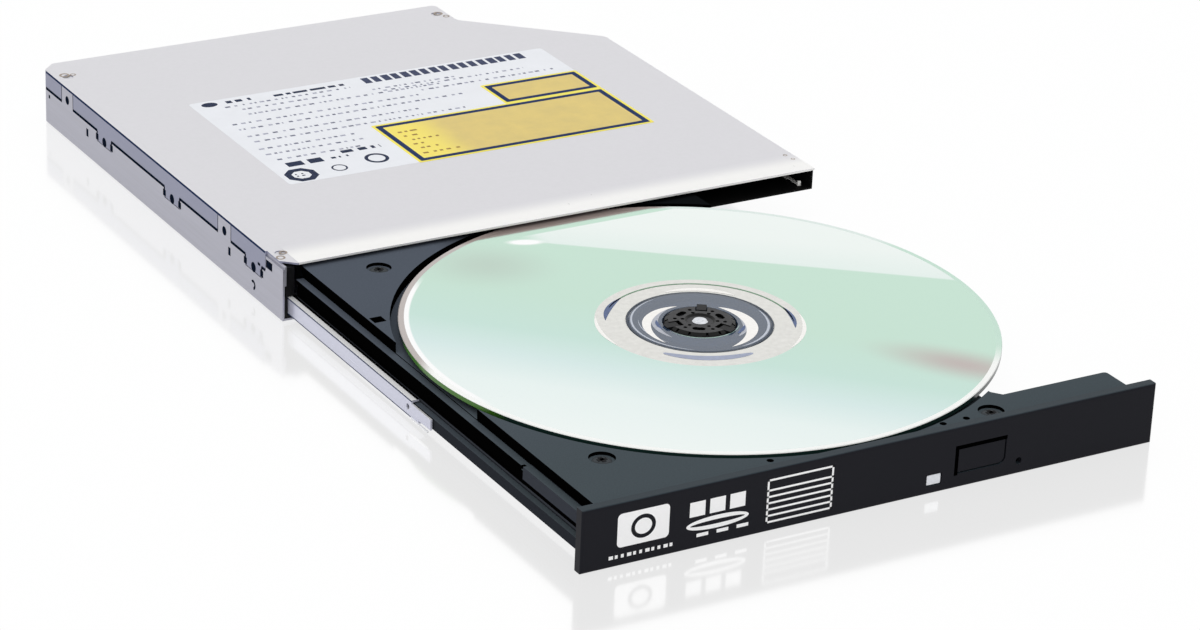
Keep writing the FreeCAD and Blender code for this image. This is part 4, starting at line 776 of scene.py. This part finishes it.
# Disc
# A 1.2 mm clear polycarbonate disc, 120 mm across, with a mirror layer from 21 mm to just inside
# the rim. The centre is clear with a moulded stacking ring, and the whole disc is clamped on the
# hub. The mirror and the rim carry painted reflections, highlights and shade in soft masks of
# colour, as a grooved disc shows in a bright room.
disc_low, disc_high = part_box("disc")
disc_centre = ((disc_low.x + disc_high.x) / 2, (disc_low.y + disc_high.y) / 2)
disc_top = disc_high.z
disc_under = disc_top - 0.0012
disc_radius = (disc_high.x - disc_low.x) / 2
hole_radius = 0.0075
ring_start = 0.0143
ring_end = 0.0147
mirror_start = 0.0204
data_start = 0.0210
data_end = 0.0588


def vector_math(kind, first, second=None):
    """A vector operation on a socket, and on a plain vector where it takes two."""
    inputs = {0: first} if second is None else {0: first, 1: second}
    outputs = add_node(first.id_data, "VectorMath", inputs, operation=kind).outputs
    return outputs["Vector" if kind == "SUBTRACT" else "Value"]


def from_centre(tree):
    """The place of a point from the middle of the disc's top."""
    place = add_node(tree, "TexCoord", {}).outputs["Object"]
    return vector_math("SUBTRACT", place, (*disc_centre, disc_top))


def across(vector, x, y, z=0.0):
    """How far a point lies in a direction."""
    return vector_math("DOT_PRODUCT", vector, (x, y, z))


def past_line(vector, x, y, start, stop):
    """A mask that grows from 0 to 1 between two straight lines across the disc."""
    return map_range(across(vector, x, y), start, stop, smooth=True)


def soft_spot(vector, middle, turn, length, width, strength):
    """A soft oval mask on the disc, strongest in its middle."""
    shift = vector_math("SUBTRACT", vector, (*middle, 0.0))
    c = math.cos(math.radians(turn))
    s = math.sin(math.radians(turn))
    shares = {"X": across(shift, c / length, s / length), "Y": across(shift, -s / width, c / width)}
    oval_place = add_node(vector.id_data, "CombineXYZ", shares).outputs["Vector"]
    return times(map_range(vector_math("LENGTH", oval_place), 1.0, 0.0, smooth=True), strength)


def paint_over(color, layers):
    """Lay colours over one another, each through its own mask."""
    for mask, tint in layers:
        color = mix_colors(mask, color, tint)
    return color


mirror = bpy.data.materials.new("disc_mirror")
mirror.use_nodes = True
mirror_shader = shader_of(mirror)
mirror_metal = 0.8
brown_metal = 0.1
mirror_shader.inputs["Metallic"].default_value = mirror_metal
mirror_shader.inputs["Roughness"].default_value = 0.14
spot = from_centre(mirror.node_tree)
toward_rear = across(spot, 0.613, 0.79)
# Painted reflection: a sheen from pale at the front left to mint at the rear right.
sheen = ramp(across(spot, 0.707, 0.707), -0.06, 0.06, [
    (0.0, (0.86, 0.92, 0.9)),
    (0.17, (0.80, 0.89, 0.87)),
    (0.27, (0.66, 0.81, 0.79)),
    (0.37, (0.55, 0.755, 0.675)),
    (0.52, (0.545, 0.75, 0.63)),
    (1.0, (0.55, 0.765, 0.63)),
])
# Painted reflection: a pale wedge behind the hub with a straight edge.
pale_wedge_reflection = times(map_range(toward_rear, 0.0322, 0.0332, smooth=True),
                   past_line(spot, 0.0, 1.0, 0.0532, 0.0526))
pale_wedge_reflection = times(pale_wedge_reflection, past_line(spot, 1.0, 0.0, -0.0125, -0.0065))
wedge_reflection_tone = ramp(toward_rear, 0.03, 0.06, [
    (0.0, (0.76, 0.86, 0.82)),
    (0.5, (0.85, 0.91, 0.88)),
    (1.0, (0.86, 0.92, 0.89)),
])
# Painted reflection of the case's dark mouth in a brown band at the rear, and a painted highlight on the
# outermost edge at the left.
brown_band_reflection = past_line(spot, 0.0, 1.0, 0.0546, 0.0554)
outermost = map_range(vector_math("LENGTH", spot), 0.0576, 0.0580, smooth=True)
edge_highlight = times(outermost, past_line(spot, -0.966, 0.259, 0.0490, 0.0530))
# Painted reflections laid over the sheen: the wedge, two soft spots, a white glint, the brown band and the
# bright edge.
set_color(mirror, paint_over(sheen, (
    (pale_wedge_reflection, wedge_reflection_tone),
    (soft_spot(spot, (0.0365, -0.0395), -52.0, 0.024, 0.0088, 0.85), (0.5, 0.4, 0.39)),
    (soft_spot(spot, (-0.0250, 0.0428), -31.0, 0.018, 0.014, 0.6), (0.46, 0.55, 0.48)),
    (soft_spot(spot, (-0.0120, 0.0500), -22.0, 0.0050, 0.0019, 2.2), (0.99, 0.99, 0.99)),
    (brown_band_reflection, (0.29, 0.235, 0.215)),
    (edge_highlight, (0.98, 0.98, 0.98)),
)))
# The brown band is made less metallic, so its painted reflection reads lighter.
metal = map_range(brown_band_reflection, 0.0, 1.0, mirror_metal, brown_metal)
mirror.node_tree.links.new(metal, mirror_shader.inputs["Metallic"])

clear_plastic = (("Transmission Weight", 0.55), ("IOR", 1.5), ("Coat Weight", 0.25), ("Coat Roughness", 0.02))
clear = fine_grain("disc_clear", (0.085, 0.14, 0.24), 0.15, 300, bump=0.0000005, constants=clear_plastic)
band_silver = fine_grain("disc_band", (0.74, 0.735, 0.70), 0.2, 900, 0.08, metallic=0.7, bump=0.000001)
rim_clear = fine_grain("disc_rim", (0.56, 0.77, 0.65), 0.2, 300, 0.03, specular=0.3, bump=0.0000005)
spot = from_centre(rim_clear.node_tree)
rim_under = map_range(across(spot, 0.0, 0.0, 1.0), -0.0001, -0.0002, smooth=True)
green_edge = times(rim_under, past_line(spot, -1.0, -0.03, 0.0562, 0.0580))
# Painted light on the rim: a white highlight on the front left half, pale and brown painted reflections
# towards the rear and left, and painted shade on the underside, with a green edge under its front left.
set_color(rim_clear, paint_over(color_of(rim_clear), (
    (past_line(spot, -0.643, -0.766, -0.006, 0.006), (0.96, 0.97, 0.95)),
    (past_line(spot, 0.6, 0.8, 0.0460, 0.0500), (0.74, 0.84, 0.8)),
    (past_line(spot, -0.766, 0.643, 0.0455, 0.0505), (0.5, 0.45, 0.43)),
    (past_line(spot, 0.0, 1.0, 0.0535, 0.0552), (0.3, 0.245, 0.225)),
    (rim_under, (0.012, 0.035, 0.03)),
    (green_edge, (0.055, 0.18, 0.013)),
)))

disc_materials = (clear, band_silver, mirror, rim_clear)
corner_cut = 0.00015
disc_profile = [
    (hole_radius, disc_under, clear),
    (ring_start, disc_under, clear),
    (mirror_start, disc_under, band_silver),
    (data_start, disc_under, mirror),
    (data_end, disc_under, rim_clear),
    (disc_radius - corner_cut, disc_under, rim_clear),
    (disc_radius, disc_under + corner_cut, rim_clear),
    (disc_radius, disc_top - corner_cut, rim_clear),
    (disc_radius - corner_cut, disc_top, rim_clear),
    (data_end, disc_top, mirror),
    (data_start, disc_top, band_silver),
    (mirror_start, disc_top, band_silver),
    (ring_end + 0.0002, disc_top, band_silver),
    (ring_end, disc_top - 0.00015, clear),
    (ring_start, disc_top - 0.00015, clear),
    (ring_start - 0.0002, disc_top, clear),
    (hole_radius + 0.0001, disc_top, clear),
    (hole_radius, disc_top - 0.0001, clear),
]
disc_builder = bmesh.new()
bands = lathe_rows(disc_builder, [(radius, z) for radius, z, look in disc_profile], disc_centre, 256)
for band, (radius, z, look) in zip(bands, disc_profile):
    for face in band:
        face.material_index = disc_materials.index(look)
optical_disc = piece("optical_disc", disc_builder, "spindle", clear, even=True)
smooth_by_angle(optical_disc, 25.0)
for look in disc_materials[1:]:
    optical_disc.data.materials.append(look)
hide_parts("disc")

# Painted highlights on the disc's middle
# Flat arcs just above the disc paint the light that the moulded rings round the hub catch: painted
# highlights in narrow crescents, lines and arcs, painted reflections in coloured patches, and a dark
# ring of painted shade at the stacking ring's edge.
arc_steps = 48


def arcs(name, look, bands, layer=0):
    """One piece made of flat arcs just above the disc, from (start, stop, radii, width, taper).

    Each swings through three radii, or keeps one, and its width can run out towards its ends.
    """
    builder = bmesh.new()
    level = disc_top + 0.00002 + layer * 0.00001
    for start, stop, radii, width, taper in bands:
        first, middle, last = (radii, radii, radii) if isinstance(radii, float) else radii
        inside = []
        outside = []
        for i in range(arc_steps + 1):
            share = i / arc_steps
            angle = math.radians(start + (stop - start) * share)
            half = width / 2 * (math.sin(math.pi * share) ** taper if taper else 1.0)
            centre = first + (last - first) * share + 4 * share * (1 - share) * (middle - (first + last) / 2)
            for row, radius in ((inside, centre - half), (outside, centre + half)):
                row.append(builder.verts.new((disc_centre[0] + radius * math.cos(angle),
                                              disc_centre[1] + radius * math.sin(angle), level)))
        for i in range(arc_steps):
            builder.faces.new((inside[i], outside[i], outside[i + 1], inside[i + 1]))
    bmesh.ops.dissolve_degenerate(builder, dist=1e-7, edges=builder.edges)
    piece("disc_" + name, builder, "spindle", arc_looks[look], even=True)


# Colours for the painted highlights, reflections and shade of the rings.
arc_looks = {}
for color_name, color, roughness, grain, vary, specular in (
    ("white", (0.97, 0.94, 0.91), 0.25, 1500, 0.05, 0.5),
    ("light", (0.42, 0.44, 0.5), 0.3, 1200, 0.2, 0.5),
    ("pale", (0.5, 0.54, 0.62), 0.3, 2000, 0.1, 0.5),
    ("dark", (0.02, 0.035, 0.06), 0.3, 2000, 0.2, 0.2),
    ("green", (0.13, 0.27, 0.16), 0.3, 1200, 0.35, 0.2),
    ("glint", (0.35, 0.5, 0.45), 0.3, 1200, 0.3, 0.5),
    ("blue", (0.07, 0.11, 0.24), 0.3, 1200, 0.3, 0.2),
    ("lavender", (0.3, 0.34, 0.47), 0.3, 1200, 0.15, 0.5),
):
    arc_looks[color_name] = fine_grain("arc_" + color_name, color, roughness, grain, vary, specular=specular)
arcs("light_patches", "light", [
    (112, 205, (0.0084, 0.0091, 0.0098), 0.0013, 0.7),
    (-70, 8, (0.0098, 0.0091, 0.0084), 0.0013, 0.7),
])
arcs("crescents", "white", [
    (92, 207, (0.0084, 0.0104, 0.0128), 0.0019, 0.8),
    (-92, 33, (0.0130, 0.0101, 0.0084), 0.0025, 0.8),
    (32, 86, (0.0156, 0.0160, 0.0156), 0.0014, 0.6),
], 1)
arcs("blue_patches", "blue", [(150, 180, 0.0087, 0.0008, 0.8), (-64, -36, 0.0089, 0.0008, 0.8)], 2)
arcs("pale_lines", "pale", [
    (100, 235, 0.0137, 0.0004, 0.5),
    (-85, 0, 0.0137, 0.0005, 0.5),
    (150, 210, 0.0123, 0.0002, 0.6),
])
arcs("hub_glint", "glint", [(192, 325, 0.0078, 0.00028, 0.5)])
arcs("dark_ring", "dark", [(30, 390, 0.0145, 0.00042, 0.0)])
arcs("green_arc", "green", [(-25, 135, 0.01885, 0.0005, 0.3)])
arcs("blue_ends", "blue", [(116, 153, 0.0188, 0.0013, 0.8), (-34, -2, 0.0190, 0.0010, 0.8)])
arcs("lavender_arc", "lavender", [(214, 276, 0.0173, 0.0020, 0.35)])
arcs("white_edge", "white", [(148, 188, 0.0208, 0.0008, 0.6), (-62, -14, 0.0208, 0.0008, 0.6)])

# Hub and spindle
# A black moulded cap with three sprung pawls snaps into the disc's hole, on a plated turntable
# with a rubber ring, over the motor's bell. The cap's faces that don't look up are painted near
# black as shade.
hub_black = fine_grain("hub_black", (0.022, 0.022, 0.024), 0.4, 1200, 0.45, specular=0.2)
# Painted shade: faces that don't look up get a near black colour.
shade_by_facing(hub_black, (0.0008, 0.0008, 0.0008), 0.93, 0.995)
pawl_black = fine_grain("pawl_black", (0.008, 0.008, 0.009), 0.4, 2500, 0.2, specular=0.1)
rotor_steel = fine_grain("rotor_steel", (0.78, 0.79, 0.82), 0.2, 1500, metallic=0.95)
pin_steel = fine_grain("pin_steel", (0.72, 0.74, 0.78), 0.2, 900, 0.2, metallic=0.9)
rubber = fine_grain("rubber", (0.015, 0.015, 0.015), 0.75, 2500, 0.25, specular=0.2, bump=0.00002)
magnet_dark = fine_grain("magnet_dark", (0.05, 0.05, 0.055), 0.6, 3000, 0.2, metallic=0.3)
copper = fine_grain("copper", (0.62, 0.27, 0.11), 0.3, 5000, 0.2, metallic=0.9, along=(1, 0.05, 1))
dress(hub_black, "clamp_hub")
dress(pawl_black, "pawl_1", "pawl_2", "pawl_3")
dress(pin_steel, "hub_pin")
dress(rotor_steel, "spindle_rotor", "lead_screw", "solenoid_plunger")
dress(rubber, "turntable_pad", "rubber_mounts")
dress(magnet_dark, "rotor_magnet", "focus_magnets")
dress(copper, "stator_coils", "solenoid_coil")

# Mechanism
# A zinc plated frame on three rubber mounts holds the rods, the feed motor and the spindle. The
# pickup is a zinc casting with a black lens holder under a thin steel lid.
frame_steel = fine_grain("frame_steel", (0.6, 0.61, 0.63), 0.33, 900, 0.06, metallic=0.85)
rod_steel = fine_grain("rod_steel", (0.8, 0.8, 0.82), 0.12, 2000, 0.03, metallic=1.0, along=(1, 1, 0.05))
pickup_zinc = fine_grain("pickup_zinc", (0.42, 0.43, 0.44), 0.45, 2500, 0.12, metallic=0.8, bump=0.00002)
clear_glass = (("Transmission Weight", 0.8), ("IOR", 1.6))
lens_glass = fine_grain("lens_glass", (0.5, 0.55, 0.85), 0.05, 300, bump=0.0000005, constants=clear_glass)
dress(frame_steel, "mechanism_frame", "spindle_base", "sled_motor", "tray_bottom_cover", "solenoid_bracket",
      "pickup_cover")
dress(rod_steel, "main_guide_rod", "side_guide_rod", "latch_pin")
dress(pickup_zinc, "pickup_body")
dress(lens_glass, "objective_lens")

# Flat cable
# Amber film with copper traces, from its socket on the board to the clamp under the tray, in one
# fixed shape that rides on the case.
flex_film = fine_grain("flex_film", (0.45, 0.2, 0.05), 0.25, 2200, 0.35, along=(1, 0.01, 1))
film_low, film_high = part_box("flex_cable")
cable_thick = 0.00015
trace_rise = 0.00002
clamp_gap = 0.00004
raised = film_high.z - cable_thick - clamp_gap
cable_line = (
    (film_high.y, raised),
    (film_high.y - 0.0022, raised),
    (film_high.y - 0.0056, film_low.z),
    (cover_front + 0.0050, film_low.z),
    (film_low.y + 0.0050, raised),
    (film_low.y, raised),
)
trace_count = 22
trace_pitch = (film_high.x - film_low.x) / trace_count
film_top = cable_thick - trace_rise
section = [(film_low.x, film_top)]
for i in range(trace_count):
    for share, up in ((0.2, film_top), (0.3, cable_thick), (0.7, cable_thick), (0.8, film_top)):
        section.append((film_low.x + trace_pitch * (i + share), up))
section += [(film_high.x, film_top), (film_high.x, 0.0), (film_low.x, 0.0)]


def closed_tube(builder, rows):
    """Join closed rows of points and cap both ends."""
    join_rows(builder, rows)
    builder.faces.new(rows[0][::-1])
    builder.faces.new(rows[-1])


cable = bmesh.new()
cable_rows = [[cable.verts.new((x, y, z + up)) for x, up in section] for y, z in cable_line]
closed_tube(cable, cable_rows)
flat_cable = piece("flat_cable", cable, "case", flex_film, even=True)
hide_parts("flex_cable")
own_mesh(flat_cable)

# Eject spring, lead screw thread and screw recesses
# A coil of spring wire behind the plunger, the rolled thread of the feed screw, and the crossed
# recesses pressed into the small screws, drawn as dark patches of painted shade.
spring_low, spring_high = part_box("eject_spring")
spring_length = spring_high.y - spring_low.y
wire_radius = 0.00022
coil_radius = (spring_high.x - spring_low.x) / 2 - wire_radius
spring_middle = (spring_low + spring_high) / 2
coil_turns = 12
upright = Vector((0.0, 0.0, 1.0))


def wire(name, path, radius, sides, body, material):
    """One piece of round wire that follows a row of points."""
    builder = bmesh.new()
    rows = []
    for k, point in enumerate(path):
        ahead = (path[min(k + 1, len(path) - 1)] - path[max(k - 1, 0)]).normalized()
        side = ahead.cross(upright)
        if side.length < 0.2:
            side = ahead.cross(Vector((0.0, 1.0, 0.0)))
        side.normalize()
        up = side.cross(ahead)
        rows.append([builder.verts.new(point + side * out + up * over)
                     for out, over in circle(0.0, 0.0, radius, sides)])
    closed_tube(builder, rows)
    thing = piece(name, builder, body, material)
    smooth_by_angle(thing, 60.0)
    return thing


def helix(middle, along, aside, radius, length, pitch, steps):
    """Points that wind round a level axis, evenly about its middle."""
    path = []
    for i in range(steps + 1):
        travel = length * (i / steps - 0.5)
        angle = 2 * math.pi * travel / pitch
        turned = aside * (radius * math.cos(angle)) + upright * (radius * math.sin(angle))
        path.append(middle + along * travel + turned)
    return path


coil_length = spring_length - 2 * wire_radius
coil_path = helix(spring_middle, Vector((0.0, 1.0, 0.0)), Vector((1.0, 0.0, 0.0)), coil_radius, coil_length,
                  coil_length / coil_turns, coil_turns * 20)
eject_coil = wire("eject_coil", coil_path, wire_radius, 8, "tray_drawer", spring_steel)
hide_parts("eject_spring")
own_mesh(eject_coil)

screw_low, screw_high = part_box("lead_screw")
screw_turn = math.radians(225.0)
screw_along = Vector((math.cos(screw_turn), math.sin(screw_turn), 0.0))
thread_length = (screw_high.x - screw_low.x) / math.sqrt(2.0) - 0.008
thread_pitch = 0.0030
thread_path = helix((screw_low + screw_high) / 2, screw_along, upright.cross(screw_along),
                    (screw_high.z - screw_low.z) / 2, thread_length, thread_pitch,
                    int(thread_length / thread_pitch) * 24)
wire("screw_thread", thread_path, 0.00012, 6, "feed_screw", rotor_steel)

recess_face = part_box("bottom_cover_screws")[0].z
# Dark crosses of painted shade where the recesses are.
recesses = []
for right, back in ((0.0074, 0.0080), (0.0160, 0.0950), (0.0720, 0.0950), (0.0660, 0.0080)):
    recesses += cross(bezel_low.x + right, bezel_low.y + back, 0.0008, 0.00018, recess_face - 0.00001,
                      recess_face + 0.0001)
blocks("bottom_screw_recesses", recesses, "tray_drawer", drive_shade_dark)

# Small parts on the main board
# Tan resistors and capacitors soldered flat on the board among the chips.
part_tan = fine_grain("part_tan", (0.4, 0.3, 0.18), 0.4, 2500, 0.3)
board_low, board_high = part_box("main_board")
small_parts = []
for i in range(26):
    part_x = shuffle.uniform(board_low.x + 0.004, board_high.x - 0.004)
    part_y = shuffle.uniform(board_low.y + 0.003, board_high.y - 0.003)
    part_w = shuffle.choice((0.0008, 0.0012, 0.0016))
    small_parts.append((part_x, part_x + part_w, part_y, part_y + part_w / 2, board_high.z - 0.00001,
                        board_high.z + 0.00025))
blocks("board_small_parts", small_parts, "case", part_tan)

# Studio
# A pale, slightly glossy floor under a white sky, a large soft lamp overhead and a weaker one at
# the front left. Neither lamp shows in what mirrors it.
white = (1.0, 1.0, 1.0, 1.0)
floor_half = 3.0
floor_mesh = bpy.data.meshes.new("floor")
floor_corners = [(x, y, 0) for x, y in rectangle(-floor_half, floor_half, -floor_half, floor_half)]
floor_mesh.from_pydata(floor_corners, [], [(0, 1, 2, 3)])
floor = add_object("floor", floor_mesh)
floor.location.z = -0.00005


def seen_rays(tree):
    """1 on camera, glossy and transmission rays, and 0 on those that carry light."""
    rays = add_node(tree, "LightPath", {}).outputs
    seen = rays["Is Camera Ray"]
    for kind in ("Is Glossy Ray", "Is Transmission Ray"):
        seen = add_node(tree, "Math", {0: seen, 1: rays[kind]}, operation="MAXIMUM").outputs["Value"]
    return seen


floor_white = bpy.data.materials.new("floor_white")
floor_white.use_nodes = True
floor_tree = floor_white.node_tree
floor_shader = shader_of(floor_white)
for socket, value in (("Base Color", white), ("Roughness", 0.5), ("Specular IOR Level", 0.0)):
    floor_shader.inputs[socket].default_value = value
glow = add_node(floor_tree, "Emission", {"Color": white, "Strength": 1.0})
gloss = add_node(floor_tree, "BsdfGlossy", {"Color": white, "Roughness": 0.12})
shown = add_node(floor_tree, "MixShader", {
    "Fac": times(seen_rays(floor_tree), 0.94),
    1: floor_shader.outputs["BSDF"],
    2: glow.outputs["Emission"],
})
polish = add_node(floor_tree, "MixShader", {"Fac": 0.2, 1: shown.outputs["Shader"], 2: gloss.outputs["BSDF"]})
floor_tree.links.new(polish.outputs["Shader"], floor_tree.nodes["Material Output"].inputs["Surface"])
floor_mesh.materials.append(floor_white)

world = bpy.data.worlds.new("sky")
bpy.context.scene.world = world
world.use_nodes = True
sky_tree = world.node_tree
sky = sky_tree.nodes["Background"]
sky.inputs["Color"].default_value = white
sky_tree.links.new(map_range(seen_rays(sky_tree), 0.0, 1.0, 0.45, 1.0), sky.inputs["Strength"])
bpy.context.scene.view_settings.view_transform = "Standard"


def lamp(name, place, size, power):
    """A square soft lamp that looks at the middle of the floor."""
    data = bpy.data.lights.new(name, "AREA")
    data.shape = "SQUARE"
    data.size = size
    data.energy = power
    thing = add_object(name, data)
    thing.location = place
    thing.rotation_mode = "QUATERNION"
    thing.rotation_quaternion = (-Vector(place)).to_track_quat("-Z", "Y")
    thing.visible_glossy = False


lamp("overhead_lamp", (0.15, 0.25, 1.3), 1.8, 10.8)
lamp("front_lamp", (-0.9, -0.9, 0.8), 1.6, 6.8)
